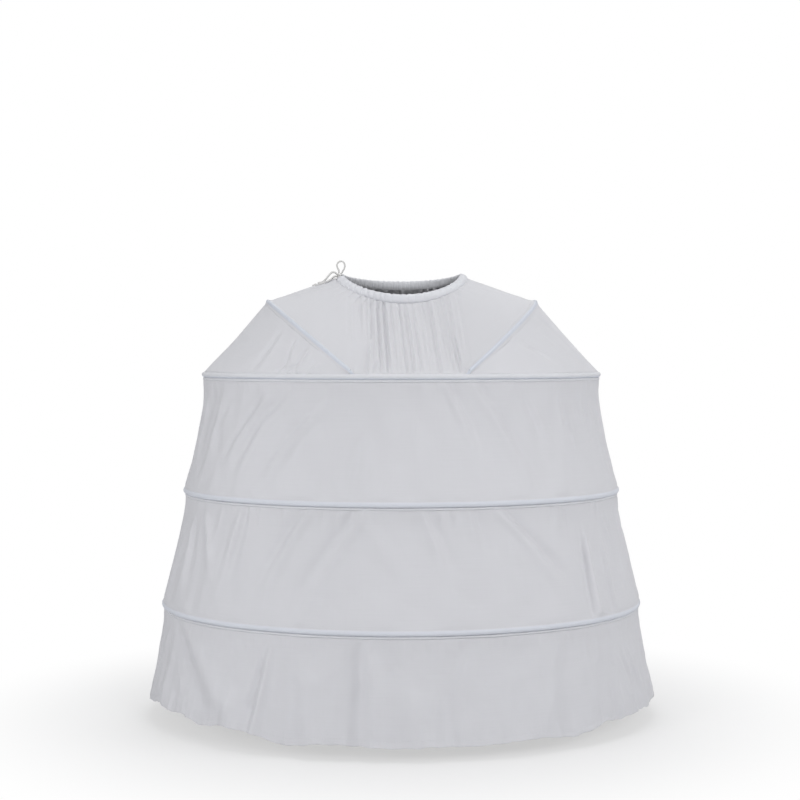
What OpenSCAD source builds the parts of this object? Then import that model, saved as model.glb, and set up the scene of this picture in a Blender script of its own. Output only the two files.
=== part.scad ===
// Hoop petticoat of pannier shape: white cotton over three sprung hoops and two hip arcs.
// The origin is the middle of the waist opening, level with the top of its sides.
// The front faces -Y, the wearer's left side is +X, and all lengths are in millimetres.

/* [Waist] */
// Width of the waist opening, inside the casing
waist_w = 272; // [220:1:340]
// Depth of the waist opening, inside the casing
waist_d = 190; // [150:1:250]
// How far the front of the waist hangs below its sides
waist_dip = 52; // [0:1:55]
// How far the back of the waist hangs below its sides
waist_back_dip = 14; // [0:1:40]
// Height of the waist casing
waist_casing_h = 22; // [18:1:30]
// How far the waist casing leans out over the hips at its two sides
waist_lean = 60; // [0:1:70]
// Side opening of the waist casing, where the drawstring is tied
waist_split = 24; // [20:1:40]
// Gathers round the whole waist
gathers = 40; // [24:4:48]
// Depth of the gathers at the front of the waist
gather_depth = 8; // [0:0.5:9]

/* [Hoops] */
// Width of the upper hoop, between the middles of its wire
upper_hoop_w = 940; // [860:1:990]
// Width of the middle hoop
middle_hoop_w = 1026; // [960:1:1090]
// Width of the lower hoop
lower_hoop_w = 1128; // [1040:1:1200]
// How much narrower the hoops are from front to back than from side to side
oval_flat = 120; // [40:1:200]
// Height from the top of the waist down to the upper hoop
upper_hoop_drop = 240; // [210:1:280]
// Height from the top of the waist down to the middle hoop
middle_hoop_drop = 513; // [440:1:560]
// Height from the top of the waist down to the lower hoop
lower_hoop_drop = 780; // [680:1:840]
// Diameter of the hoop wire
hoop_d = 6; // [4:0.1:7]
// Space between the two ends of a hoop wire
hoop_end_gap = 2; // [0.5:0.1:6]
// Length of the ferrule that joins a hoop's ends
joiner_l = 46; // [30:1:80]
// Wall of the ferrule
joiner_wall = 0.8; // [0.5:0.1:1.2]

/* [Hip arcs] */
// Distance of a hip arc's peak from the middle of the body
hip_peak_x = 319; // [280:1:360]
// Height from the top of the waist down to the peak
hip_peak_drop = 66; // [58:1:110]
// Distance of a hip arc's feet from the middle of the body
hip_foot_x = 128; // [90:1:150]
// Diameter of the hip bone
hip_bone_d = 5; // [3:0.1:6]
// Length of the cap on each end of a hip bone
hip_tip_l = 14; // [8:1:24]
// Wall of that cap
hip_tip_wall = 0.7; // [0.5:0.1:1]

/* [Cloth] */
// Thickness of one layer of cloth with its seam allowance
cloth_t = 1; // [0.6:0.1:1.4]
// Wall of a hoop casing, of folded cloth
casing_wall = 1.9; // [1.2:0.1:2.6]
// Wall of a hip casing
hip_casing_wall = 1.5; // [1:0.1:2.4]
// Height of the sewing flange under a hoop casing
flange_h = 6; // [3:0.5:12]
// Opening in the back of a hoop casing, where the wire is fed in
casing_mouth = 12; // [6:1:24]
// How late the upper tier flares out: 1 is a straight cone
upper_tier_flare = 1.65; // [1:0.05:2.2]
// How late the middle tier flares out
middle_tier_flare = 1.15; // [1:0.05:2.2]
// Space left between pieces that are sewn together
seam_gap = 0.3; // [0.2:0.05:0.5]

/* [Flounce] */
// Width of the hem
hem_w = 1200; // [1120:1:1280]
// Height from the top of the waist down to the hem
hem_drop = 1010; // [900:1:1080]
// How late the flounce flares out
flounce_flare = 1.1; // [1:0.05:2]
// Depth of the folds at the hem
flounce_fold = 9; // [0:0.5:16]
// Rise and fall of the hem
hem_wave = 6; // [0:0.5:12]
// Height of the folded hem
hem_fold_h = 14; // [8:1:24]

/* [Drawstring] */
// Diameter of the drawstring
cord_d = 4; // [3:0.1:4.2]
// Diameter of the bow's knot
knot_d = 13; // [10:0.5:15]

/* [Hidden] */
$fn = 96;

COTTON = "#d6d7dc";
CASING = "#dde1e9";
STRING = "#e4e4e6";
WIRE = "#c9ccd2";
FERRULE = "#a9adb3";

// Clearances of the pieces that slide into each other
fit_gap = 0.1;
slide_gap = 0.2;

// Hoop sections
joiner_r = hoop_d / 2 + fit_gap + joiner_wall;
casing_bore_r = joiner_r + slide_gap;
casing_r = casing_bore_r + casing_wall;
flange_x = -2 * cloth_t;
HOOP_W = [upper_hoop_w, middle_hoop_w, lower_hoop_w];
HOOP_DROP = [upper_hoop_drop, middle_hoop_drop, lower_hoop_drop];
TIER_FLARE = [upper_tier_flare, middle_tier_flare];
TIER_STEPS = 8;

// Hip arc sections
hip_tip_r = hip_bone_d / 2 + fit_gap + hip_tip_wall;
hip_bore_r = hip_tip_r + slide_gap;
hip_casing_r = hip_bore_r + hip_casing_wall;

// Waist section
cord_bore = cord_d / 2 + seam_gap;
waist_wall = 2 * cloth_t;
waist_t = cord_bore + waist_wall;
waist_a = waist_w / 2 + waist_t;
waist_b = waist_d / 2 + waist_t;

// Oval family
// Every hoop is four arcs, with their centres three units out along X and four along Y, so that
// the arcs join on the long sides of 3-4-5 triangles. All the hoops, casings and tiers are
// offsets of one oval and change arc on the same four rays.
oval_unit = oval_flat / 4;
oval_join = atan2(4, 3);
WEDGE_REACH = 2400;

function semi(i) = HOOP_W[i] / 2;
function level(i) = -HOOP_DROP[i];
function turn(length, radius) = length / radius * 180 / PI;
function mix(p, q, t) = p + (q - p) * t;
function unit(v) = v / norm(v);
function ray(ang) = [cos(ang), sin(ang)];
function arc_centre(k) = oval_unit * [[3, 0], [0, -4], [-3, 0], [0, 4]][k % 4];
function arc_radius(a, k) = a + oval_unit * (k % 2 == 0 ? -3 : 2);
function arc_half_turn(k) = k % 2 == 0 ? oval_join : 90 - oval_join;
function arc_index(ang) =
  let (k = floor(ang / 90))
  ang - 90 * k < arc_half_turn(k) ? k : k + 1;
function oval_point(a, ang) =
  let (k = arc_index(ang))
  arc_centre(k) + arc_radius(a, k) * ray(ang);
function oval_front_y(a, x) = 4 * oval_unit - sqrt(pow(arc_radius(a, 3), 2) - x * x);
function back_turn(i, length) = turn(length / 2, arc_radius(semi(i), 1));
function seam_turn(a) = turn(seam_gap / 2, arc_radius(a, 0));

// Sweeps a profile, drawn at its half-width and height, round the oval between two angles.
module oval_sweep(from, to) {
  for (k = [arc_index(from) : arc_index(to)]) {
    low = max(from, 90 * k - arc_half_turn(k));
    high = min(to, 90 * k + arc_half_turn(k));
    if (high > low)
      translate(arc_centre(k))
        intersection() {
          rotate_extrude()
            translate([arc_radius(0, k), 0])
              children();
          linear_extrude(height = WEDGE_REACH, center = true)
            polygon(WEDGE_REACH * [[0, 0], ray(low), ray((low + high) / 2), ray(high)]);
        }
  }
}

// Cloth
// A panel is a grid of points, rows from top to bottom and columns anticlockwise, with a
// thickness for each row laid on its inner side.
function clamp(i, n) = max(0, min(n, i));
function panel_normal(g, r, c) =
  let (
    rows = len(g) - 1,
    cols = len(g[0]) - 1,
    across = g[r][clamp(c + 1, cols)] - g[r][clamp(c - 1, cols)],
    down = g[clamp(r + 1, rows)][c] - g[clamp(r - 1, rows)][c]
  )
  unit(cross(down, across));
function panel_inside(g, thick) = [
  for (r = [0 : len(g) - 1]) [
    for (c = [0 : len(g[0]) - 1]) g[r][c] - thick[r] * panel_normal(g, r, c)
  ]
];
function flat(rows) = [for (row = rows) each row];
function quad(a, b, c, d) = [[a, b, c], [a, c, d]];

module panel(g, thick) {
  rows = len(g);
  cols = len(g[0]);
  back = rows * cols;
  faces = [
    for (r = [0 : rows - 2], c = [0 : cols - 2])
      let (a = r * cols + c, b = a + cols)
      each concat(quad(a, a + 1, b + 1, b), quad(back + a, back + b, back + b + 1, back + a + 1)),
    for (c = [0 : cols - 2])
      let (low = (rows - 1) * cols + c)
      each concat(
        quad(c, back + c, back + c + 1, c + 1),
        quad(low, low + 1, back + low + 1, back + low)
      ),
    for (r = [0 : rows - 2])
      let (a = r * cols, b = a + cols, e = a + cols - 1, f = e + cols)
      each concat(quad(a, b, back + b, back + a), quad(e, back + e, back + f, f))
  ];
  polyhedron(concat(flat(g), flat(panel_inside(g, thick))), faces);
}

// Waist
// Height of the middle of the casing round the waist ellipse, where it stands upright.
function waist_level(ang) =
  -waist_casing_h / 2 - (sin(ang) < 0 ? waist_dip : waist_back_dip) * pow(abs(sin(ang)), 1.3);
function waist_lean_at(ang) = waist_lean * pow(cos(ang), 2);
// A point of the casing, out from its middle and up from it. The casing leans out from its top
// edge, upright at the front and back and lying along the hips at the sides.
function waist_point(ang, out, up) =
  let (
    n = unit([cos(ang) / waist_a, sin(ang) / waist_b]),
    lean = waist_lean_at(ang),
    half = waist_casing_h / 2,
    reach = out * cos(lean) + (half - up) * sin(lean),
    rise = half + out * sin(lean) - (half - up) * cos(lean)
  )
  [waist_a * cos(ang) + reach * n.x, waist_b * sin(ang) + reach * n.y, waist_level(ang) + rise];
function waist_turn(length) = turn(length / 2, waist_b * waist_b / waist_a);

WAIST_SIDES = 8;
function waist_ring(ang, half_t, half_h) = [
  for (k = [0 : WAIST_SIDES - 1])
    let (a = (k + 0.5) * 360 / WAIST_SIDES, s = cos(180 / WAIST_SIDES))
    waist_point(ang, half_t * cos(a) / s, half_h * sin(a) / s)
];

module waist_casing() {
  rings = 2 * gathers;
  start = 180 + waist_turn(waist_split);
  step = (360 - 2 * waist_turn(waist_split)) / rings;
  n = WAIST_SIDES;
  back = (rings + 1) * n;
  outer = [
    for (i = [0 : rings])
      waist_ring(start + i * step, waist_t + (i % 2) * cloth_t, waist_casing_h / 2)
  ];
  inner = [
    for (i = [0 : rings])
      waist_ring(start + i * step, cord_bore, waist_casing_h / 2 - waist_wall)
  ];
  faces = [
    for (i = [0 : rings - 1], k = [0 : n - 1])
      let (a = i * n + k, b = i * n + (k + 1) % n)
      each concat(quad(a, a + n, b + n, b), quad(back + a, back + b, back + b + n, back + a + n)),
    for (k = [0 : n - 1])
      let (m = (k + 1) % n, e = rings * n)
      each concat(
        quad(k, m, back + m, back + k),
        quad(e + k, back + e + k, back + e + m, e + m)
      )
  ];
  color(COTTON)
    polyhedron(concat(flat(outer), flat(inner)), faces);
}

// Hip arcs
// Each arc is part of a circle in a plane that tilts up and out from its two feet.
hip_foot_level = level(0) + casing_r + hip_casing_r + seam_gap;
hip_foot_y = -oval_front_y(semi(0), hip_foot_x);
hip_run = hip_peak_x - hip_foot_x;
hip_lift = -hip_peak_drop - hip_foot_level;
hip_tilt = atan2(hip_lift, hip_run);
hip_rise = norm([hip_run, hip_lift]);
hip_radius = (pow(hip_foot_y, 2) + pow(hip_rise, 2)) / (2 * hip_rise);
hip_half_turn = asin(hip_foot_y / hip_radius);
HIP_UP = [cos(hip_tilt), 0, sin(hip_tilt)];
HIP_TOP = [-sin(hip_tilt), 0, cos(hip_tilt)];
HIP_MIDDLE = [hip_foot_x, 0, hip_foot_level] + (hip_rise - hip_radius) * HIP_UP;
function hip_turn(length) = turn(length, hip_radius);
function hip_out(ang) = cos(ang) * HIP_UP + [0, sin(ang), 0];
function hip_point(ang) = HIP_MIDDLE + hip_radius * hip_out(ang);
hip_stop = hip_casing_wall + seam_gap;
hip_bone_stop = hip_stop + hip_tip_wall + fit_gap;

module hip_arc(from, to, r) {
  translate(HIP_MIDDLE)
    rotate([0, -hip_tilt, 0])
      rotate(from)
        rotate_extrude(angle = to - from)
          translate([hip_radius, 0])
            circle(r);
}

module hip_casing() {
  difference() {
    hip_arc(-hip_half_turn, hip_half_turn, hip_casing_r);
    hip_arc(-hip_half_turn + hip_turn(hip_casing_wall), hip_half_turn + hip_turn(hip_casing_r), hip_bore_r);
  }
}

module hip_bone() {
  reach = hip_half_turn - hip_turn(hip_bone_stop);
  hip_arc(-reach, reach, hip_bone_d / 2);
}

module hip_tip() {
  end = -hip_half_turn + hip_turn(hip_stop);
  difference() {
    hip_arc(end, end + hip_turn(hip_tip_l), hip_tip_r);
    hip_arc(
      end + hip_turn(hip_tip_wall),
      end + hip_turn(hip_tip_l + hip_tip_wall),
      hip_bone_d / 2 + fit_gap
    );
  }
}

module left_hip_casing() { color(CASING) hip_casing(); }
module right_hip_casing() { color(CASING) mirror([1, 0, 0]) hip_casing(); }
module left_hip_bone() { color(WIRE) hip_bone(); }
module right_hip_bone() { color(WIRE) mirror([1, 0, 0]) hip_bone(); }
module hip_bone_tips() {
  color(FERRULE)
    for (side = [0, 1], end = [0, 1])
      mirror([side, 0, 0])
        mirror([0, end, 0])
          hip_tip();
}

// Yoke
// Its upper edge runs under the waist casing. Its lower edge runs down one hip arc, along the
// front of the upper hoop and up the other hip arc.
YOKE_ON_ARC = 130;
YOKE_ROWS = [0, 0.1, 0.28, 0.52, 0.76, 1];
GATHER_STEPS = 4;
yoke_cols = gathers / 2 * GATHER_STEPS;
yoke_arc_cols = round(yoke_cols * 0.375);
yoke_hoop_x = hip_foot_x - 2 * hip_casing_r;
edge_level = level(0) + casing_r + seam_gap + cloth_t;
function arc_edge(ang, lay) =
  hip_point(ang) + (hip_casing_r + seam_gap) * (cos(lay) * hip_out(ang) + sin(lay) * HIP_TOP);
function hoop_front(x) = [x, oval_front_y(semi(0) + cloth_t / 2, x), edge_level];
function mirror_x(p) = [-p.x, p.y, p.z];
// Lower edge at one column of the wearer's left half, counted from the side seam.
function yoke_low(c) =
  c <= yoke_arc_cols
    ? arc_edge(mix(-hip_turn(seam_gap / 2), -hip_half_turn, c / yoke_arc_cols), YOKE_ON_ARC)
    : hoop_front(yoke_hoop_x * (yoke_cols / 2 - c) / (yoke_cols / 2 - yoke_arc_cols - 1));
function yoke_edge(c) = c <= yoke_cols / 2 ? mirror_x(yoke_low(c)) : yoke_low(yoke_cols - c);
function gather(c, ang, row) =
  let (front = pow(sin(ang), 2), fade = pow(1 - row, 1.5))
  gather_depth / 2 * (0.2 + 0.8 * front) * fade * cos(360 * c / GATHER_STEPS);
function yoke_point(c, row) =
  let (
    ang = mix(180 + waist_turn(seam_gap), 360 - waist_turn(seam_gap), c / yoke_cols),
    top = waist_point(ang, 0, -waist_casing_h / 2 - seam_gap),
    wave = gather(c, ang, row),
    lean = waist_lean_at(ang),
    out = [cos(lean) * cos(ang), cos(lean) * sin(ang), max(sin(lean), min(1, 3 * row))]
  )
  mix(top, yoke_edge(c), row) + wave * out;

function front_yoke_grid() = [for (row = YOKE_ROWS) [for (c = [0 : yoke_cols]) yoke_point(c, row)]];
// The back panel is the front one turned to the back, set to the height of the back of the waist.
function back_yoke_grid() = [
  for (row = YOKE_ROWS) [
    for (c = [yoke_cols : -1 : 0])
      let (
        p = yoke_point(c, row),
        ang = mix(180 + waist_turn(seam_gap), 360 - waist_turn(seam_gap), c / yoke_cols),
        raise = (waist_dip - waist_back_dip) * pow(abs(sin(ang)), 1.3) * (1 - row)
      )
      [p.x, -p.y, p.z + raise]
  ]
];

module front_yoke() {
  color(COTTON) panel(front_yoke_grid(), [for (row = YOKE_ROWS) cloth_t]);
}
module back_yoke() {
  color(COTTON) panel(back_yoke_grid(), [for (row = YOKE_ROWS) cloth_t]);
}

// Hip gussets
// Each is stretched from the underside of a hip arc to the top of the upper hoop's casing.
GUSSET_COLS = 24;
GUSSET_ROWS = [0, 0.33, 0.67, 1];
GUSSET_ON_ARC = 270;
gusset_turn = hip_half_turn - hip_turn(4 * hip_casing_r);
gusset_hoop_ang = acos((hip_foot_x + 2 * hip_casing_r) / arc_radius(semi(0), 1));
function gusset_point(c, row) =
  let (
    along = 2 * c / GUSSET_COLS - 1,
    low = oval_point(semi(0) + cloth_t / 2, along * gusset_hoop_ang + 360)
  )
  mix(arc_edge(along * gusset_turn, GUSSET_ON_ARC), [low.x, low.y, edge_level], row);

module hip_gusset() {
  panel(
    [for (row = GUSSET_ROWS) [for (c = [0 : GUSSET_COLS]) gusset_point(c, row)]],
    [for (row = GUSSET_ROWS) cloth_t]
  );
}
module left_hip_gusset() { color(COTTON) hip_gusset(); }
module right_hip_gusset() { color(COTTON) mirror([1, 0, 0]) hip_gusset(); }

// Hoops
module hoop(i) {
  open = back_turn(i, hoop_end_gap);
  color(WIRE)
    oval_sweep(90 + open, 450 - open)
      translate([semi(i), level(i)])
        circle(hoop_d / 2);
}

module hoop_joiner(i) {
  reach = back_turn(i, joiner_l);
  color(FERRULE)
    oval_sweep(90 - reach, 90 + reach)
      translate([semi(i), level(i)])
        difference() {
          circle(joiner_r);
          circle(hoop_d / 2 + fit_gap);
        }
}

// The casing is a tube with a flat flange below it, stitched to the cloth of the next tier.
module hoop_casing(i) {
  open = back_turn(i, casing_mouth);
  color(CASING)
    oval_sweep(90 + open, 450 - open)
      translate([semi(i), level(i)])
        difference() {
          union() {
            circle(casing_r);
            translate([flange_x, -casing_r - flange_h])
              square([cloth_t, flange_h + casing_wall / 2]);
          }
          circle(casing_bore_r);
        }
}

module upper_hoop() { hoop(0); }
module middle_hoop() { hoop(1); }
module lower_hoop() { hoop(2); }
module upper_hoop_joiner() { hoop_joiner(0); }
module middle_hoop_joiner() { hoop_joiner(1); }
module lower_hoop_joiner() { hoop_joiner(2); }
module upper_hoop_casing() { hoop_casing(0); }
module middle_hoop_casing() { hoop_casing(1); }
module lower_hoop_casing() { hoop_casing(2); }

// Tiers
// A tier hangs behind the flange of the hoop above it, bows in on its way to the next hoop and
// comes to rest on the outer side of that hoop's casing.
TIER_ON_HOOP = 15;
tier_x = flange_x - seam_gap;
tier_top = sqrt(pow(casing_r, 2) - pow(tier_x, 2)) + seam_gap;
flange_end = casing_r + flange_h;
function tier_line(i, shift) =
  let (
    x = semi(i) + tier_x + shift,
    from = level(i) - flange_end,
    to = level(i + 1) + casing_r * sin(TIER_ON_HOOP),
    out = semi(i + 1) + (casing_r + seam_gap) * cos(TIER_ON_HOOP) + cloth_t + shift
  )
  [
    [x, level(i) - tier_top],
    for (j = [0 : TIER_STEPS])
      let (t = j / TIER_STEPS)
      [mix(x, out, pow(t, TIER_FLARE[i])), mix(from, to, t)]
  ];
function reversed(list) = [for (j = [len(list) - 1 : -1 : 0]) list[j]];

module tier(i, start) {
  ease = seam_turn(semi(i));
  color(COTTON)
    oval_sweep(start + ease, start + 180 - ease)
      polygon(concat(tier_line(i, 0), reversed(tier_line(i, -cloth_t))));
}

module front_upper_tier() { tier(0, 180); }
module back_upper_tier() { tier(0, 0); }
module front_middle_tier() { tier(1, 180); }
module back_middle_tier() { tier(1, 0); }

// Flounce
// It hangs free below the lower hoop, in soft folds that deepen towards a wavy hem.
FLOUNCE_COLS = 72;
flounce_l = hem_drop - lower_hoop_drop - flange_end;
hem_turn = 1 - hem_fold_h / flounce_l;
sewn_top = (tier_top - flange_end) / flounce_l;
HEM_LAYERS = 2.5;
FLOUNCE_ROWS = [sewn_top, 0, 0.3, 0.62, hem_turn - 0.03, hem_turn, 1];
FLOUNCE_LAYERS = [1, 1, 1, 1, 1, HEM_LAYERS, HEM_LAYERS];
function fold(u) = 0.55 * sin(360 * 7 * u) + 0.3 * sin(360 * 5 * u) + 0.25 * sin(360 * 12 * u);
function flounce_point(start, c, row) =
  let (
    u = c / FLOUNCE_COLS,
    free = max(0, row),
    ease = seam_turn(semi(2)),
    half = mix(semi(2) + tier_x, hem_w / 2, pow(free, flounce_flare)),
    out = half + flounce_fold * fold(u) * pow(free, 1.4),
    low = hem_wave / 2 * sin(360 * 6 * u) * pow(free, 2),
    p = oval_point(out, mix(start + ease, start + 180 - ease, u))
  )
  [p.x, p.y, mix(level(2) - flange_end, -hem_drop, row) + low];

module flounce(start) {
  color(COTTON)
    panel(
      [for (row = FLOUNCE_ROWS) [for (c = [0 : FLOUNCE_COLS]) flounce_point(start, c, row)]],
      FLOUNCE_LAYERS * cloth_t
    );
}
module front_flounce() { flounce(180); }
module back_flounce() { flounce(0); }

// Drawstring
// The cord runs inside the waist casing and is tied in a bow at its side opening.
CORD_SIDES = 8;
KNOT = waist_point(180, 0, 0);
function heading(route, i) =
  unit(route[min(i + 1, len(route) - 1)] - route[max(i - 1, 0)]);
function cord_ring(route, i, level_axis) =
  let (
    along = heading(route, i),
    side = unit(cross(along, level_axis)),
    up = cross(side, along)
  )
  [
    for (k = [0 : CORD_SIDES - 1])
      let (a = 360 * k / CORD_SIDES)
      route[i] + cord_d / 2 * (cos(a) * side + sin(a) * up)
  ];

module cord(route, level_axis) {
  n = CORD_SIDES;
  last = (len(route) - 1) * n;
  rings = [for (i = [0 : len(route) - 1]) cord_ring(route, i, level_axis)];
  faces = [
    for (i = [0 : len(route) - 2], k = [0 : n - 1])
      let (a = i * n + k, b = i * n + (k + 1) % n)
      each quad(a, a + n, b + n, b),
    for (k = [1 : n - 2]) each [[0, k, k + 1], [last, last + k + 1, last + k]]
  ];
  color(STRING) polyhedron(flat(rings), faces);
}

// Routes of the bow, measured from its knot
LOOP_UPRIGHT = [
  [0, -1, 6.65], [0, -2, 13.5], [-3.5, -2, 20], [-4.5, -2, 27], [-1, -2, 33], [5, -2, 35.5],
  [11, -2, 33], [14, -2, 27], [13.5, -2, 20], [10, -2, 13], [4.6, -1, 4.75]
];
LOOP_FLAT = [
  [-4.6, -2.3, 4.3], [-9.4, -4.7, 8.8], [-16, -7.5, 9], [-23, -9.5, 3], [-30, -11, -6],
  [-38, -11, -13.7], [-45, -7, -15.7], [-49, 0, -16], [-45, 7, -15.3], [-38, 11, -13.4], [-30, 11, -6],
  [-23, 9.5, 3], [-16, 7.5, 9], [-9.4, 4.7, 8.8], [-4.6, 2.3, 4.3]
];
TAIL_FRONT = [
  [-5.4, -3.9, -0.4], [-10.7, -7.7, -0.8], [-16, -13, -5], [-22, -19, -10.8], [-29, -25, -14.2],
  [-37, -30, -17.4], [-45, -34, -20.4], [-53, -37, -22]
];
TAIL_BACK = [
  [-5.4, 3.9, -0.4], [-10.7, 7.7, -0.8], [-16, 13, -5], [-23, 19, -9.3], [-31, 24, -12.6],
  [-40, 28, -15.8], [-49, 31, -18.9], [-58, 33, -21.3]
];
UPRIGHT_AXIS = [0, 1, 0];
LYING_AXIS = [0, 0, 1];
function placed(route) = [for (p = route) KNOT + p];
DRAWSTRING_RINGS = 60;
drawstring_gap = knot_d + 2 * seam_gap;

module drawstring() {
  ends = waist_turn(drawstring_gap);
  cord(
    [
      for (i = [0 : DRAWSTRING_RINGS])
        waist_point(mix(180 + ends, 540 - ends, i / DRAWSTRING_RINGS), 0, 0)
    ],
    LYING_AXIS
  );
}
module bow_knot() {
  color(STRING) translate(KNOT) sphere(d = knot_d);
}
module bow_loop_upright() { cord(placed(LOOP_UPRIGHT), UPRIGHT_AXIS); }
module bow_loop_flat() { cord(placed(LOOP_FLAT), LYING_AXIS); }
module bow_tail_front() { cord(placed(TAIL_FRONT), LYING_AXIS); }
module bow_tail_back() { cord(placed(TAIL_BACK), LYING_AXIS); }
module tail_knots() {
  tail_knot_d = 1.8 * cord_d;
  color(STRING)
    for (route = [TAIL_FRONT, TAIL_BACK]) {
      last = len(route) - 1;
      translate(KNOT + route[last] + (tail_knot_d / 2 + fit_gap) * heading(route, last))
        sphere(d = tail_knot_d);
    }
}

waist_casing();
drawstring();
bow_knot();
bow_loop_upright();
bow_loop_flat();
bow_tail_front();
bow_tail_back();
tail_knots();
front_yoke();
back_yoke();
left_hip_gusset();
right_hip_gusset();
left_hip_casing();
right_hip_casing();
left_hip_bone();
right_hip_bone();
hip_bone_tips();
upper_hoop_casing();
middle_hoop_casing();
lower_hoop_casing();
upper_hoop();
middle_hoop();
lower_hoop();
upper_hoop_joiner();
middle_hoop_joiner();
lower_hoop_joiner();
front_upper_tier();
back_upper_tier();
front_middle_tier();
back_middle_tier();
front_flounce();
back_flounce();
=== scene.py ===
import math
from functools import partial

import bpy
import numpy as np
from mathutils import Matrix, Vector


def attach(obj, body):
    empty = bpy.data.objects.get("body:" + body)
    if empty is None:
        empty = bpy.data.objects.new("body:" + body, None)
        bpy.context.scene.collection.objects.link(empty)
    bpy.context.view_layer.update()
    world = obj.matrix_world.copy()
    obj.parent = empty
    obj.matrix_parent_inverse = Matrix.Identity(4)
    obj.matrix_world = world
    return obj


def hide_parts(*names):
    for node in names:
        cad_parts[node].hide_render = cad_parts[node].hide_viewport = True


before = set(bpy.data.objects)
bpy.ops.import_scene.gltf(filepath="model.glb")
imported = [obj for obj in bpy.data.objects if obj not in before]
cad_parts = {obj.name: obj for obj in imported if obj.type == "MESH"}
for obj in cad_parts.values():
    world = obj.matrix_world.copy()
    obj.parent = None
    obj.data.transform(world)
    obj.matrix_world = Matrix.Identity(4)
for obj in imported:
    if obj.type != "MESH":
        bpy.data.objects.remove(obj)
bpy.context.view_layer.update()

bl_info = {
    "name": "Hoop petticoat",
    "version": (1, 0, 0),
    "blender": (4, 5, 0),
    "location": "View3D > Sidebar > Petticoat",
    "description": "Dresses a hoop petticoat of pannier shape in cotton, casings and cord",
    "category": "Object",
}

BODY = "root"
MM = 0.001
SEAM_GAP = 0.3 * MM


# Sizes and colours


def length(name, description, default):
    return bpy.props.FloatProperty(
        name=name, description=description, default=default, unit="LENGTH", precision=4
    )


def colour(name, description, default):
    return bpy.props.FloatVectorProperty(
        name=name, description=description, default=default, subtype="COLOR", size=3, min=0, max=1
    )


class PetticoatSizes(bpy.types.PropertyGroup):
    """Sizes of the petticoat, the same as those of its solids."""

    waist_w: length("Waist width", "Width of the waist opening", 0.272)
    waist_d: length("Waist depth", "Depth of the waist opening", 0.190)
    waist_dip: length("Front dip", "How far the front of the waist hangs below its sides", 0.052)
    waist_back_dip: length("Back dip", "How far the back of the waist hangs below its sides", 0.014)
    waist_casing_h: length("Waist casing", "Height of the waist casing", 0.022)
    waist_lean: bpy.props.FloatProperty(
        name="Waist lean",
        description="How far the waist casing leans out over the hips at its sides",
        default=math.radians(60),
        subtype="ANGLE",
    )
    waist_split: length("Side opening", "Opening of the waist casing at the bow", 0.024)
    upper_hoop_w: length("Upper hoop", "Width of the upper hoop", 0.940)
    middle_hoop_w: length("Middle hoop", "Width of the middle hoop", 1.026)
    lower_hoop_w: length("Lower hoop", "Width of the lower hoop", 1.128)
    upper_hoop_drop: length("Upper drop", "Height from the waist to the upper hoop", 0.240)
    middle_hoop_drop: length("Middle drop", "Height from the waist to the middle hoop", 0.513)
    lower_hoop_drop: length("Lower drop", "Height from the waist to the lower hoop", 0.780)
    oval_flat: length("Oval", "How much narrower the hoops are from front to back", 0.120)
    hoop_casing_r: length("Hoop casing", "Outer radius of a hoop casing", 0.006)
    casing_mouth: length("Casing mouth", "Opening in the back of a hoop casing", 0.012)
    flange_h: length("Flange", "Height of the sewing flange under a hoop casing", 0.006)
    hip_peak_x: length("Hip peak", "Distance of a hip arc's peak from the middle", 0.319)
    hip_peak_drop: length("Hip peak drop", "Height from the waist down to the peak", 0.066)
    hip_foot_x: length("Hip foot", "Distance of a hip arc's feet from the middle", 0.128)
    hip_casing_r: length("Hip casing", "Outer radius of a hip casing", 0.005)
    hem_w: length("Hem width", "Width of the hem", 1.200)
    hem_drop: length("Hem drop", "Height from the waist down to the hem", 1.010)
    hem_fold_h: length("Hem fold", "Height of the folded hem", 0.014)
    cloth_t: length("Cloth", "Thickness of a panel of cloth", 0.0008)
    cord_d: length("Cord", "Diameter of the drawstring", 0.004)


class PetticoatColours(bpy.types.PropertyGroup):
    """Colours of the petticoat's finishes and of the floor."""

    cotton: colour("Cotton", "Plain cotton of the panels", (0.640, 0.640, 0.668))
    casing: colour("Casing", "Double cotton of the casings", (0.670, 0.676, 0.708))
    # Painted shade: a darker, cooler tint on the lower side of a casing, standing in for the shade under its
    # wire, partly the cooler tone of the doubled cloth
    shade: colour("Casing shade", "Cloth where it turns under a wire", (0.615, 0.642, 0.706))
    # Painted shade: a cooler tint on the tiers where they turn under a hoop, standing in for the cool shade
    # there, partly the tone of cloth lying doubled over the casing
    rim: colour("Rim", "Tiers where they lie over a hoop", (0.645, 0.664, 0.720))
    string: colour("String", "Cotton drawstring", (0.66, 0.655, 0.645))
    wire: colour("Wire", "Coated spring wire and bones", (0.60, 0.62, 0.66))
    ferrule: colour("Ferrule", "Metal of the ferrules and caps", (0.42, 0.43, 0.45))
    floor: colour("Floor", "Pale floor", (0.62, 0.62, 0.63))


# Lines that the pieces share


def mix(p, q, t):
    return p + (q - p) * t


def smooth(low, high, x):
    t = np.clip((x - low) / (high - low), 0, 1)
    return t * t * (3 - 2 * t)


def unit(v):
    return v / np.linalg.norm(v, axis=-1, keepdims=True)


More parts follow.
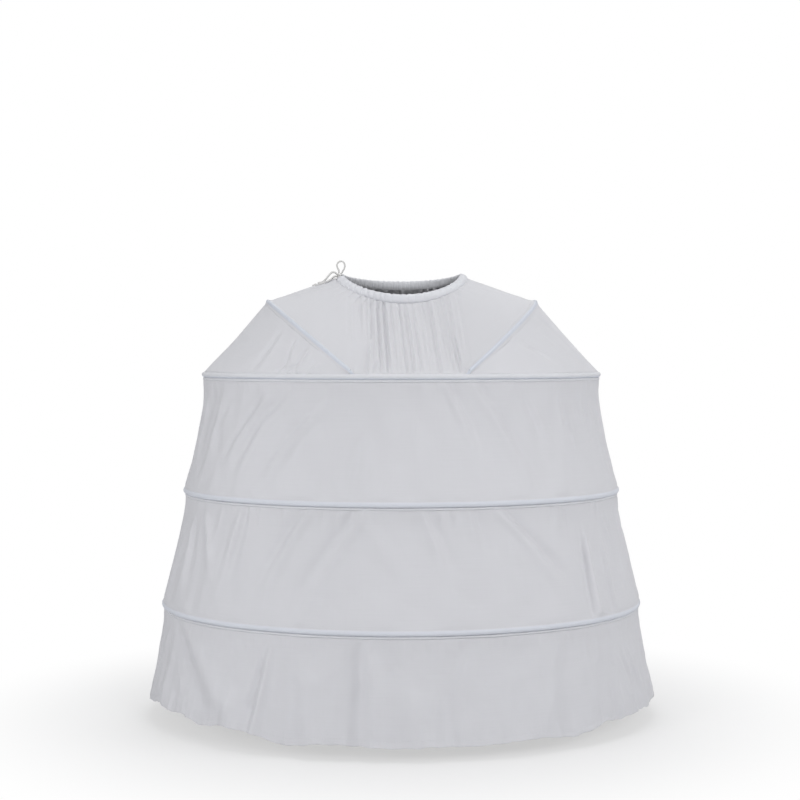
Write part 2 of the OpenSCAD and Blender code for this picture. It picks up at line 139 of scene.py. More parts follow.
class Form:
    """Ovals, arcs and edges of the petticoat, worked out from its sizes."""

    WAIST_T, WAIST_TUCK = 4.3 * MM, 1.5 * MM
    DIP_CURVE = 1.3
    FLANGE_X = -2 * MM
    FLANGE_LEAN, FLANGE_FADE = 4 * MM, 0.07
    BULGE, BULGE_RISE, BULGE_FADE = 2 * MM, 0.05, 0.1
    EDGE_TUCK = 0.6 * MM
    HOOP_OUT, HOOP_TUCK = 0.5 * MM, 0.4 * MM
    FOOT_GAP = 2 * MM
    YOKE_COLS, YOKE_ARC_COLS = 80, 30
    YOKE_ON_ARC = math.radians(130)
    YOKE_EASE = 160
    GUSSET_ON_ARC = math.radians(270)
    GUSSET_REACH = 0.985
    TIER_FLARE = (1.65, 1.15)
    FLOUNCE_FLARE = 1.1

    def __init__(self, s):
        self.s = s
        self.u = s.oval_flat / 4
        self.semi = [s.upper_hoop_w / 2, s.middle_hoop_w / 2, s.lower_hoop_w / 2]
        self.level = [-s.upper_hoop_drop, -s.middle_hoop_drop, -s.lower_hoop_drop]
        self.waist_a = s.waist_w / 2 + self.WAIST_T
        self.waist_b = s.waist_d / 2 + self.WAIST_T
        self.side_bend = self.waist_b**2 / self.waist_a
        self.flange_end = s.hoop_casing_r + s.flange_h
        self.tier_x = self.FLANGE_X - SEAM_GAP
        self.knot = self.waist_point(np.array(math.pi), 0, 0)
        self.hoop_top = self.level[0] + s.hoop_casing_r - self.HOOP_TUCK
        self.gusset_turn = math.acos((s.hip_foot_x + self.FOOT_GAP) / (self.semi[0] + 2 * self.u))
        foot_level = self.level[0] + s.hoop_casing_r + s.hip_casing_r + SEAM_GAP
        self.foot_y = -self.oval_front_y(self.semi[0], s.hip_foot_x)
        run = s.hip_peak_x - s.hip_foot_x
        lift = -s.hip_peak_drop - foot_level
        tilt = math.atan2(lift, run)
        rise = math.hypot(run, lift)
        self.hip_radius = (self.foot_y**2 + rise**2) / (2 * rise)
        self.hip_half_turn = math.asin(self.foot_y / self.hip_radius)
        self.hip_up = np.array([math.cos(tilt), 0, math.sin(tilt)])
        self.hip_top = np.array([-math.sin(tilt), 0, math.cos(tilt)])
        self.hip_middle = np.array([s.hip_foot_x, 0, foot_level])
        self.hip_middle = self.hip_middle + (rise - self.hip_radius) * self.hip_up

    def top_lean(self, t):
        """How far the top of a panel stands out with the flange that it is sewn to."""
        bulge = self.BULGE * smooth(0, self.BULGE_RISE, t) * np.exp(-t / self.BULGE_FADE)
        return self.FLANGE_LEAN * np.exp(-t / self.FLANGE_FADE) + bulge

    def oval(self, a, ang):
        """Points of the hoops' oval of half-width a, by the angle of the outward normal. Its four
        arcs have their centres 3 units out at the sides and 4 at the front and back."""
        ang = np.asarray(ang, float)
        join = math.atan2(4, 3)
        k = np.floor(ang / (math.pi / 2)).astype(int)
        half = np.where(k % 2 == 0, join, math.pi / 2 - join)
        k = np.where(ang - k * math.pi / 2 < half, k, k + 1) % 4
        centre = self.u * np.array([[3, 0], [0, -4], [-3, 0], [0, 4]], float)[k]
        radius = a + self.u * np.where(k % 2 == 0, -3, 2)
        return centre[..., 0] + radius * np.cos(ang), centre[..., 1] + radius * np.sin(ang)

    def oval_front_y(self, a, x):
        return 4 * self.u - np.sqrt((a + 2 * self.u) ** 2 - np.square(x))

    def waist_level(self, ang):
        dip = np.where(np.sin(ang) < 0, self.s.waist_dip, self.s.waist_back_dip)
        return -self.s.waist_casing_h / 2 - dip * np.abs(np.sin(ang)) ** self.DIP_CURVE

    def waist_point(self, ang, out, up):
        """A point of the waist casing, out from its middle and up from it, as it leans."""
        nx, ny = np.cos(ang) / self.waist_a, np.sin(ang) / self.waist_b
        size = np.hypot(nx, ny)
        lean = self.s.waist_lean * np.cos(ang) ** 2
        half = self.s.waist_casing_h / 2
        reach = out * np.cos(lean) + (half - up) * np.sin(lean)
        rise = half + out * np.sin(lean) - (half - up) * np.cos(lean)
        x = self.waist_a * np.cos(ang) + reach * nx / size
        y = self.waist_b * np.sin(ang) + reach * ny / size
        return np.stack(np.broadcast_arrays(x, y, self.waist_level(ang) + rise), -1)

    def hip_out(self, ang):
        ang = np.asarray(ang, float)[..., None]
        return np.cos(ang) * self.hip_up + np.sin(ang) * np.array([0, 1.0, 0])

    def hip_point(self, ang, radius, lay):
        """Point on a hip casing of that radius, at an angle round its section."""
        lay = np.asarray(lay, float)[..., None]
        out = self.hip_out(ang)
        ring = np.cos(lay) * out + np.sin(lay) * self.hip_top
        return self.hip_middle + self.hip_radius * out + np.asarray(radius)[..., None] * ring

    def yoke_low(self, c):
        """Lower edge of half a yoke, from the side seam round to the middle of the front."""
        s = self.s
        arc_turn = -self.hip_half_turn * np.clip(c / self.YOKE_ARC_COLS, 0, 1)
        arc = self.hip_point(arc_turn, s.hip_casing_r - self.EDGE_TUCK, self.YOKE_ON_ARC)
        half = self.YOKE_COLS / 2
        reach = s.hip_foot_x - 2 * s.hip_casing_r
        x = reach * (half - c) / (half - self.YOKE_ARC_COLS - 1)
        y = self.oval_front_y(self.semi[0] + self.HOOP_OUT, x)
        hoop = np.stack([x, y, np.full(c.shape, self.hoop_top)], -1)
        ease = np.clip(c - self.YOKE_ARC_COLS, 0, 1)[..., None]
        return mix(arc, hoop, ease)

    def yoke(self, c, rows):
        """Grid of the front yoke without its folds, and the waist angle of each column."""
        ang = math.pi * (1 + c / self.YOKE_COLS)
        top = self.waist_point(ang, 0, -self.s.waist_casing_h / 2 + self.WAIST_TUCK)
        near = self.yoke_low(np.minimum(c, self.YOKE_COLS - c))
        near[:, 0] *= np.where(c <= self.YOKE_COLS / 2, -1, 1)
        row = np.asarray(rows)[:, None, None]
        return relaxed(mix(top[None], near[None], row), self.YOKE_EASE), ang

    def gusset(self, along, rows):
        """Grid of the wearer's left hip gusset without its folds."""
        turn = along * self.hip_half_turn * self.GUSSET_REACH
        high = self.hip_point(turn, self.s.hip_casing_r - self.EDGE_TUCK, self.GUSSET_ON_ARC)
        x, y = self.oval(self.semi[0] + self.HOOP_OUT, along * self.gusset_turn + 2 * math.pi)
        low = np.stack([x, y, np.full(len(along), self.hoop_top)], -1)
        return mix(high[None], low[None], np.asarray(rows)[:, None, None])


def relaxed(grid, steps):
    """Draws a panel tight between its edges, as stretched cloth lies."""
    g = grid.copy()
    for _ in range(steps):
        middle = g[:-2, 1:-1] + g[2:, 1:-1] + g[1:-1, :-2] + g[1:-1, 2:]
        g[1:-1, 1:-1] = middle / 4
    return g


def sizes():
    return bpy.context.scene.petticoat_sizes


def colours():
    return bpy.context.scene.petticoat_colours


# Cloth

RIPPLE_PARTS, RIPPLE_GAIN = 7, 1.6
SWELLS, SWELL_SIZE = 26, 0.035
FOLD_BEND = 0.12
FOLD_SPREAD = (0.7, 1.3)
FOLD_RISE, FOLD_FADE = 0.22, 0.45
LOOSE_REACH, LOOSE_WIDTH = 84, 1.5


def stretches(places, counts):
    """Columns along a panel, closer together in some stretches than in others."""
    parts = [np.linspace(a, b, n, endpoint=False) for a, b, n in zip(places, places[1:], counts)]
    return np.concatenate([*parts, places[-1:]])


def normals(grid):
    return unit(np.cross(np.gradient(grid, axis=0), np.gradient(grid, axis=1)))


def relief(grid, height):
    return grid + normals(grid) * height[..., None]


def mirrored(grid, axis):
    """The same panel on the other side, with its columns turned round so that it faces out."""
    flip = np.ones(3)
    flip[axis] = -1
    return (grid * flip)[:, ::-1]


def ripple(x, pitch, seed):
    """An uneven wave of about that pitch, about one high."""
    rng = np.random.default_rng(seed)
    pitches = pitch * rng.uniform(0.6, 1.8, RIPPLE_PARTS)
    turns = rng.uniform(0, 2 * math.pi, RIPPLE_PARTS)
    wave = sum(np.sin(2 * math.pi * x / p + t) for p, t in zip(pitches, turns))
    return wave / RIPPLE_PARTS * RIPPLE_GAIN


def drift(x, z, seed):
    """Soft uneven swells of a panel that has been worn, about one high."""
    rng = np.random.default_rng(seed)
    height = 0
    for _ in range(SWELLS):
        size, turn = SWELL_SIZE * 4 ** rng.uniform(), rng.normal(0, 0.55)
        wave = x * math.cos(turn) + z * math.sin(turn)
        height = height + size * np.sin(2 * math.pi * wave / size + rng.uniform(0, 6.3))
    return height / (2 * SWELL_SIZE * math.sqrt(SWELLS))


def hump(x, middle, wide):
    """A round hump, one high, of that half-width."""
    return np.exp(-(((x - middle) / wide) ** 2))


def folds(across, down, lines):
    """Height of soft folds. Each line runs from one place on the panel to another and has a
    half-width, a height in millimetres and a skew, which is 0 for a round ridge and 1 for a lap."""
    height = np.zeros(np.broadcast(across, down).shape)
    for x0, d0, x1, d1, wide, high, skew in lines:
        s = (down - d0) / (d1 - d0)
        run = np.clip(s, 0, 1)
        bend = FOLD_BEND * (x1 - x0) * np.sin(math.pi * run)
        q = (across - mix(x0, x1, s) - bend) / (wide * mix(*FOLD_SPREAD, run))
        along = smooth(0, FOLD_RISE, s) * (1 - smooth(FOLD_FADE, 1, s))
        ridge = (1 - abs(skew)) * np.exp(-q * q) + skew * q * np.exp(0.5 - q * q / 2)
        height = height + high * MM * along * ridge
    return height


def loose_folds(seed, count, high):
    """Folds of a panel that hang as they fall, spread over its width."""
    rng = np.random.default_rng(seed)
    lines = []
    for _ in range(count):
        x, d = rng.uniform(-LOOSE_REACH, LOOSE_REACH), rng.uniform(-0.1, 0.35)
        lean = rng.normal(0, 3) + x * 0.08
        end = d + rng.uniform(0.3, 0.8)
        wide = LOOSE_WIDTH * rng.uniform(0.6, 1.5)
        rise = high * rng.uniform(0.4, 1.2)
        lines.append((x, d, x + lean, end, wide, rise, rng.uniform(-0.8, 0.8)))
    return lines


def lengths(points):
    """Distance along a line of points, from its start."""
    steps = np.linalg.norm(np.diff(points, axis=0), axis=1)
    return np.concatenate([[0], np.cumsum(steps)])


def cloth_uv(grid):
    """Flat places of a grid's points, in metres along it and up from its foot."""
    rows, cols = grid.shape[:2]
    across = lengths(grid[rows // 2])
    down = lengths(grid[:, cols // 2])
    u, v = np.meshgrid(across, down[-1] - down)
    return np.stack([u, v], -1)


def placed(name, data):
    holder = bpy.data.objects.new(name, data)
    bpy.context.collection.objects.link(holder)
    return holder


def new_piece(name, points, faces, uv):
    mesh = bpy.data.meshes.new(name)
    mesh.from_pydata(points.reshape(-1, 3).tolist(), [], faces)
    mesh.polygons.foreach_set("use_smooth", [True] * len(mesh.polygons))
    index = np.empty(len(mesh.loops), int)
    mesh.loops.foreach_get("vertex_index", index)
    mesh.uv_layers.new(name="weave").data.foreach_set("uv", uv.reshape(-1, 2)[index].ravel())
    mesh.update()
    return placed(name, mesh)


def dress(piece, kind, node):
    piece.data.materials.append(finish(kind))
    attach(piece, BODY)
    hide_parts(node)
    return piece


def grid_faces(rows, cols):
    i = np.arange(rows * cols).reshape(rows, cols)
    corners = np.stack([i[:-1, :-1], i[1:, :-1], i[1:, 1:], i[:-1, 1:]], -1)
    return corners.reshape(-1, 4).tolist()


def cloth_piece(node, grid, thickness, kind):
    """The cloth of a solid, over a grid of points, rows downwards and columns anticlockwise."""
    piece = new_piece(f"{node}_cloth", grid, grid_faces(*grid.shape[:2]), cloth_uv(grid))
    wall = piece.modifiers.new("cloth", "SOLIDIFY")
    wall.thickness = thickness
    wall.offset = -1
    return dress(piece, kind, node)


# Finishes

WEFT_GRAIN, WARP_GRAIN = (9, 520, 1), (460, 7, 1)
CLOUD_GRAIN, CRUMPLE_GRAIN = (5, 5, 5), (38, 38, 22)
STRING_GRAIN = (900, 2500, 1)
WEAVE_TONES, STRING_TONES, METAL_TONES = (0.955, 1.045), (0.86, 1.06), (0.86, 1.08)
WEFT_SHOW, WARP_SHOW, CLOUD_SHOW = 0.55, 0.2, 0.45
WEFT_RISE, THREAD_RISE, STITCH_RISE = 0.25, 0.08, 0.5
FINE_PITCH, FINE_SLUB = 0.5 * MM, 0.6
STITCH_PITCH, STITCH_WIDE, STITCH_SHARE = 3.2 * MM, 0.8 * MM, 0.7
# Stitches are a whiter thread; the groove beside them is darkened in colour as painted shade
STITCH_TONE, GROOVE_PAINTED_SHADE_TONE, GROOVE_PAINTED_SHADE_SHOW = 1.1, 0.6, 0.16
GROOVE_EDGES, GROOVE_DEPTH = (0.3 * MM, 1.6 * MM), 0.8
# The band of painted shade, above the foot of its piece: where it starts, is full, starts to go and is gone
TIER_PAINTED_SHADE = (-2 * MM, -1 * MM, 10 * MM, 15.5 * MM)
HIP_PAINTED_SHADE = (6 * MM, 10 * MM, 16 * MM, 24 * MM)
HOOP_PAINTED_SHADE = (5 * MM, 8 * MM, 13.5 * MM, 18.5 * MM)
# Rows of stitches, above the foot of their piece
TIER_ROWS, WAIST_ROWS = (15 * MM,), (2.5 * MM,)
HIP_ROWS, HOOP_ROWS = (1.2 * MM, 27 * MM), (3 * MM,)
HEM_ROW_DOWN = 1 * MM


def link(tree, source, target):
    tree.links.new(source, target)


def math_node(tree, operation, a, b):
    node = tree.nodes.new("ShaderNodeMath")
    node.operation = operation
    for socket, value in zip(node.inputs, (a, b)):
        if isinstance(value, (int, float)):
            socket.default_value = value
        else:
            link(tree, value, socket)
    return node.outputs[0]


def places(tree, kind):
    return tree.nodes.new("ShaderNodeTexCoord").outputs[kind]


def stretched_noise(tree, coordinates, scale, detail=2.0, distortion=0.0):
    mapping = tree.nodes.new("ShaderNodeMapping")
    mapping.inputs["Scale"].default_value = scale
    link(tree, coordinates, mapping.inputs["Vector"])
    noise = tree.nodes.new("ShaderNodeTexNoise")
    noise.inputs["Scale"].default_value = 1
    noise.inputs["Detail"].default_value = detail
    noise.inputs["Distortion"].default_value = distortion
    link(tree, mapping.outputs["Vector"], noise.inputs["Vector"])
    return noise.outputs["Fac"]


def threads(tree, coordinates, direction, pitch):
    wave = tree.nodes.new("ShaderNodeTexWave")
    wave.bands_direction = direction
    wave.inputs["Scale"].default_value = math.pi / 10 / pitch
    link(tree, coordinates, wave.inputs["Vector"])
    return wave.outputs["Fac"]


def new_material(name, roughness):
    material = bpy.data.materials.new(name)
    material.use_nodes = True
    tree = material.node_tree
    shader = next(n for n in tree.nodes if n.type == "BSDF_PRINCIPLED")
    shader.inputs["Roughness"].default_value = roughness
    return material, tree, shader


def blended(tree, factor, first, second):
    """One colour to another, each a socket or a plain colour."""
    both = tree.nodes.new("ShaderNodeMix")
    both.data_type = "RGBA"
    link(tree, factor, both.inputs["Factor"])
    for name, value in (("A", first), ("B", second)):
        if isinstance(value, bpy.types.NodeSocket):
            link(tree, value, both.inputs[name])
        else:
            both.inputs[name].default_value = [*value, 1]
    return both.outputs["Result"]


def tinted(tree, base, factor, dark, light):
    shades = ([c * dark for c in base], [min(1, c * light) for c in base])
    return blended(tree, factor, *shades)


def bump(tree, shader, height, strength, distance):
    node = tree.nodes.new("ShaderNodeBump")
    node.inputs["Strength"].default_value = strength
    node.inputs["Distance"].default_value = distance
    link(tree, height, node.inputs["Height"])
    link(tree, node.outputs["Normal"], shader.inputs["Normal"])


def span(tree, value, start, stop, least=0):
    """Rises from the least to one between a start and a stop, eased."""
    node = tree.nodes.new("ShaderNodeMapRange")
    node.interpolation_type = "SMOOTHSTEP"
    node.inputs["From Min"].default_value = start
    node.inputs["From Max"].default_value = stop
    node.inputs["To Min"].default_value = least
    link(tree, value, node.inputs["Value"])
    return node.outputs["Result"]


def sewn_rows(tree, across, up, levels):
    """The stitches of rows sewn at those heights above a piece's foot, and the groove they pull."""
    calc = partial(math_node, tree)
    run = calc("FRACT", calc("DIVIDE", across, STITCH_PITCH), 0)
    sewn = calc("LESS_THAN", run, STITCH_SHARE)
    stitch = groove = 0
    for level in levels:
        off = calc("ABSOLUTE", calc("SUBTRACT", up, level), 0)
        thread = calc("MULTIPLY", calc("LESS_THAN", off, STITCH_WIDE / 2), sewn)
        pull = calc("SUBTRACT", 1, span(tree, off, *GROOVE_EDGES))
        stitch, groove = calc("MAXIMUM", stitch, thread), calc("MAXIMUM", groove, pull)
    return stitch, groove


def weave_finish(name, base, pitch=0.6 * MM, slub=1.0, rim=None, rim_span=None, rows=()):
    """Plain-weave cotton: threads both ways, thick places in the weft and a soft crumple, with a
    cooler tint painted as shade where the cloth turns under a wire, and rows of stitches with painted shade
    in the groove beside them."""
    material, tree, shader = new_material(name, 0.86)
    shader.inputs["Sheen Weight"].default_value = 0.12
    shader.inputs["Sheen Roughness"].default_value = 0.5
    shader.inputs["Specular IOR Level"].default_value = 0.25
    calc = partial(math_node, tree)
    uv, solid = places(tree, "UV"), places(tree, "Object")
    split = tree.nodes.new("ShaderNodeSeparateXYZ")
    link(tree, uv, split.inputs[0])
    across, up = split.outputs["X"], split.outputs["Y"]
    weft = stretched_noise(tree, uv, WEFT_GRAIN)
    warp = stretched_noise(tree, uv, WARP_GRAIN)
    cloud = stretched_noise(tree, solid, CLOUD_GRAIN, 3)
    streak = calc("ADD", calc("MULTIPLY", weft, WEFT_SHOW * slub), 0.5 - 0.5 * slub)
    shade = calc("ADD", streak, calc("MULTIPLY", warp, WARP_SHOW))
    shade = calc("ADD", shade, calc("MULTIPLY", cloud, CLOUD_SHOW))
    look = tinted(tree, base, calc("SUBTRACT", shade, 0.1), *WEAVE_TONES)
    cross = calc("ADD", threads(tree, uv, "X", pitch), threads(tree, uv, "Y", pitch))
    crumple = stretched_noise(tree, solid, CRUMPLE_GRAIN, 4, 0.6)
    rough = calc("ADD", calc("MULTIPLY", weft, WEFT_RISE), calc("MULTIPLY", cross, THREAD_RISE))
    height = calc("ADD", crumple, rough)
    # Painted shade: a cooler tint over the band where the cloth turns under a wire, partly the tone of
    # doubled cloth
    if rim:
        low, full, high, gone = rim_span
        painted_shade_mask = calc("MULTIPLY", span(tree, up, low, full), span(tree, up, gone, high))
        look = blended(tree, painted_shade_mask, look, rim)
    if rows:
        stitch, groove = sewn_rows(tree, across, up, rows)
        # Painted shade: the groove beside the stitches is darkened in colour
        groove_painted_shade = calc("MULTIPLY", groove, GROOVE_PAINTED_SHADE_SHOW)
        look = blended(tree, groove_painted_shade, look, [c * GROOVE_PAINTED_SHADE_TONE for c in base])
        look = blended(tree, stitch, look, [min(1, c * STITCH_TONE) for c in base])
        raised = calc("SUBTRACT", stitch, calc("MULTIPLY", groove, GROOVE_DEPTH))
        height = calc("ADD", height, calc("MULTIPLY", raised, STITCH_RISE))
    link(tree, look, shader.inputs["Base Color"])
    bump(tree, shader, height, 0.35, 1.6 * MM)
    return material


def string_finish(name, base):
    """Twisted cotton string."""
    material, tree, shader = new_material(name, 0.9)
    shader.inputs["Sheen Weight"].default_value = 0.15
    fibre = stretched_noise(tree, places(tree, "UV"), STRING_GRAIN, 3)
    link(tree, tinted(tree, base, fibre, *STRING_TONES), shader.inputs["Base Color"])
    bump(tree, shader, fibre, 0.3, 0.2 * MM)
    return material


def metal_finish(name, base, roughness, metallic, grain):
    """Drawn metal, with fine marks along the wire."""
    material, tree, shader = new_material(name, roughness)
    shader.inputs["Metallic"].default_value = metallic
    marks = stretched_noise(tree, places(tree, "Object"), grain, 4)
    link(tree, tinted(tree, base, marks, *METAL_TONES), shader.inputs["Base Color"])
    bump(tree, shader, marks, 0.15, 0.05 * MM)
    return material


def finish(kind):
    """The finish of that name, made once."""
    if kind in bpy.data.materials:
        return bpy.data.materials[kind]
    c = colours()
    plain = partial(weave_finish, kind, c.cotton)
    fine = partial(weave_finish, kind, pitch=FINE_PITCH, slub=FINE_SLUB)
    hem_rows = (sizes().hem_fold_h - HEM_ROW_DOWN,)
    makers = {
        "cotton_weave": plain,
        "tier_weave": lambda: plain(rim=c.rim, rim_span=TIER_PAINTED_SHADE, rows=TIER_ROWS),
        "hem_weave": lambda: plain(rows=hem_rows),
        "waist_weave": lambda: fine(base=c.casing, rows=WAIST_ROWS),
        "hip_casing_weave": lambda: fine(base=c.cotton, rim=c.shade, rim_span=HIP_PAINTED_SHADE, rows=HIP_ROWS),
        "hoop_casing_weave": lambda: fine(base=c.casing, rim=c.shade, rim_span=HOOP_PAINTED_SHADE, rows=HOOP_ROWS),
        "cotton_string": lambda: string_finish(kind, c.string),
        "coated_wire": lambda: metal_finish(kind, c.wire, 0.35, 0.0, (60, 60, 240)),
        "drawn_ferrule": lambda: metal_finish(kind, c.ferrule, 0.4, 1.0, (300, 80, 300)),
    }
    return makers[kind]()


# Bow and drawstring

LOOP_UPRIGHT = [
    (0, -1, 6.65), (0, -2, 13.5), (-3.5, -2, 20), (-4.5, -2, 27), (-1, -2, 33), (5, -2, 35.5),
    (11, -2, 33), (14, -2, 27), (13.5, -2, 20), (10, -2, 13), (4.6, -1, 4.75),
]
LOOP_FLAT = [
    (-4.6, -2.3, 4.3), (-9.4, -4.7, 8.8), (-16, -7.5, 9), (-23, -9.5, 3), (-30, -11, -6),
    (-38, -11, -13.7), (-45, -7, -15.7), (-49, 0, -16), (-45, 7, -15.3), (-38, 11, -13.4),
    (-30, 11, -6), (-23, 9.5, 3), (-16, 7.5, 9), (-9.4, 4.7, 8.8), (-4.6, 2.3, 4.3),
]
TAIL_FRONT = [
    (-5.4, -3.9, -0.4), (-10.7, -7.7, -0.8), (-16, -13, -5), (-22, -19, -10.8),
    (-29, -25, -14.2), (-37, -30, -17.4), (-45, -34, -20.4), (-53, -37, -22),
]
TAIL_BACK = [
    (-5.4, 3.9, -0.4), (-10.7, 7.7, -0.8), (-16, 13, -5), (-23, 19, -9.3), (-31, 24, -12.6),
    (-40, 28, -15.8), (-49, 31, -18.9), (-58, 33, -21.3),
]
LOOPS = {"bow_loop_upright": LOOP_UPRIGHT, "bow_loop_flat": LOOP_FLAT}
TAILS = {"bow_tail_front": TAIL_FRONT, "bow_tail_back": TAIL_BACK}
CORD_SIDES = 16
STRANDS, STRAND_LAY = 3, 11 * MM
GROOVE_R, STRAND_RISE = 0.88, 0.20
KNOT_POINTS, KNOT_WRAPS = 90, 3
KNOT_R, KNOT_WAVE, KNOT_RISE = 0.62, 0.3, 0.34


def rounded(route, step):
    """A smooth line through the points of a route, with points a step apart."""
    p = np.asarray(route, float)
    ends = np.concatenate([[2 * p[0] - p[1]], p, [2 * p[-1] - p[-2]]])
    line = []
    for a, b, c, d in zip(ends, ends[1:], ends[2:], ends[3:]):
        t = np.linspace(0, 1, 13)[:-1, None]
        line.append(
            0.5 * (2 * b + (c - a) * t + (2 * a - 5 * b + 4 * c - d) * t**2
                   + (3 * b - a - 3 * c + d) * t**3)
        )
    line = np.concatenate([*line, p[-1:]])
    run = lengths(line)
    even = np.linspace(0, run[-1], max(2, round(run[-1] / step) + 1))
    return np.stack([np.interp(even, run, line[:, k]) for k in range(3)], -1)


def cord_points(line, diameter):
    """Rings of a twisted cord along a line."""
    along = unit(np.gradient(line, axis=0))
    side = np.zeros_like(line)
    guide = np.cross(along[0], [0.3, 0.2, 0.93])
    for i, a in enumerate(along):
        guide = guide - a * np.dot(guide, a)
        guide = guide / np.linalg.norm(guide)
        side[i] = guide
    up = np.cross(along, side)
    ang = np.linspace(0, 2 * math.pi, CORD_SIDES, endpoint=False)
    twist = lengths(line)[:, None] / STRAND_LAY * 2 * math.pi
    lobe = GROOVE_R + STRAND_RISE * np.abs(np.cos(STRANDS / 2 * (ang[None] - twist)))
    r = (diameter / 2 * lobe)[..., None]
    turn = np.cos(ang)[None, :, None] * side[:, None] + np.sin(ang)[None, :, None] * up[:, None]
    return line[:, None] + r * turn


def cord_piece(name, line, diameter, node, closed=False):
    rings = cord_points(line, diameter)
    n, sides = rings.shape[:2]
    i = np.arange(n * sides).reshape(n, sides)
    if closed:
        i = np.concatenate([i, i[:1]])
    j = np.roll(i, -1, axis=1)
    faces = np.stack([i[:-1], j[:-1], j[1:], i[1:]], -1).reshape(-1, 4).tolist()
    if not closed:
        faces += [i[0, ::-1].tolist(), i[-1].tolist()]
    run = lengths(line)
    uv = np.stack(np.meshgrid(run, np.linspace(0, math.pi * diameter, sides), indexing="ij"), -1)
    piece = new_piece(name, rings, faces, uv)
    return dress(piece, "cotton_string", node)


def knot_line(middle, size):
    """A closed line that winds over itself as a tied knot does."""
    t = np.linspace(0, 2 * math.pi, KNOT_POINTS, endpoint=False)
    r = size * (KNOT_R + KNOT_WAVE * np.cos(KNOT_WRAPS * t))
    rise = KNOT_RISE * size * np.sin(KNOT_WRAPS * t)
    return middle + np.stack([r * np.cos(2 * t), rise, r * np.sin(2 * t)], -1)


class PETTICOAT_OT_bow(bpy.types.Operator):
    """Makes the drawstring, its bow and the knots on its tails"""

    bl_idname = "petticoat.bow"
    bl_label = "Bow and drawstring"
    STEP, DRAWSTRING_STEP = 1 * MM, 2.4 * MM
    KNOT_SIZE = 4.4 * MM
    TAIL_KNOT_SIZE, TAIL_KNOT_CORD, TAIL_KNOT_AWAY = 2.3 * MM, 2.6 * MM, 3.2 * MM
    DRAWSTRING_POINTS, DRAWSTRING_END = 90, 6.8 * MM

    def execute(self, context):
        s = sizes()
        form = Form(s)
        knot = form.knot
        cord_piece("bow_knot_tied", knot_line(knot, self.KNOT_SIZE), s.cord_d, "bow_knot", True)
        for node, route in LOOPS.items():
            line = rounded(knot + np.array(route) * MM, self.STEP)
            piece = cord_piece(f"{node}_cord", line, s.cord_d, node)
        for node, route in TAILS.items():
            line = rounded(knot + np.array(route) * MM, self.STEP)
            piece = cord_piece(f"{node}_cord", line, s.cord_d, node)
            end = line[-1] + self.TAIL_KNOT_AWAY * unit(line[-1] - line[-3])
            wound = knot_line(end, self.TAIL_KNOT_SIZE)
            tied = cord_piece(f"{node}_knot", wound, self.TAIL_KNOT_CORD, "tail_knots", True)
        ends = self.DRAWSTRING_END / form.side_bend
        ang = np.linspace(math.pi + ends, 3 * math.pi - ends, self.DRAWSTRING_POINTS)
        line = rounded(form.waist_point(ang, 0, 0), self.DRAWSTRING_STEP)
        piece = cord_piece("drawstring_cord", line, s.cord_d, "drawstring")
        return {"FINISHED"}


# Waist

# Creases of the casing's front: waist angle in degrees, and depth in millimetres of the next puff
WAIST_CREASES = [
    (180, 2.0), (189, 2.2), (198, 2.8), (206.6, 3.6), (213.3, 4.0), (220.6, 4.4), (228.4, 4.6), (235.3, 4.6),
    (241.8, 4.4), (247.9, 4.0), (251.9, 2.2), (259, 1.2), (266, 1.0), (274, 1.3), (281, 0.9), (289, 1.3),
    (297, 1.0), (305, 1.4), (313, 1.8), (320.6, 3.0), (329.6, 3.0), (337, 2.2), (342.7, 2.6), (351, 1.8),
]
BACK_PITCH, BACK_DEPTH = 9 * MM, 1.8
PUFF_ROUND, PUFF_LEVEL = 0.4, 0.7


def waist_puffs(form, ang):
    """Depth of the gathers at each waist angle: puffs of cloth with a sharp crease between them."""
    rng = np.random.default_rng(17)
    creases = [math.radians(deg) for deg, _ in WAIST_CREASES]
    depths = [depth for _, depth in WAIST_CREASES]
    creases.append(2 * math.pi)
    while creases[-1] < 3 * math.pi:
        speed = math.hypot(form.waist_a * math.sin(creases[-1]), form.waist_b * math.cos(creases[-1]))
        creases.append(creases[-1] + BACK_PITCH * rng.uniform(0.6, 1.45) / speed)
        depths.append(BACK_DEPTH * rng.uniform(0.55, 1.25))
    creases, depths = np.array(creases), np.array(depths)
    turn = np.mod(ang - math.pi, 2 * math.pi) + math.pi
    i = np.clip(np.searchsorted(creases, turn, side="right") - 1, 0, len(depths) - 1)
    t = (turn - creases[i]) / (creases[i + 1] - creases[i])
    return depths[i] * MM * (np.abs(np.sin(math.pi * t)) ** PUFF_ROUND - PUFF_LEVEL)


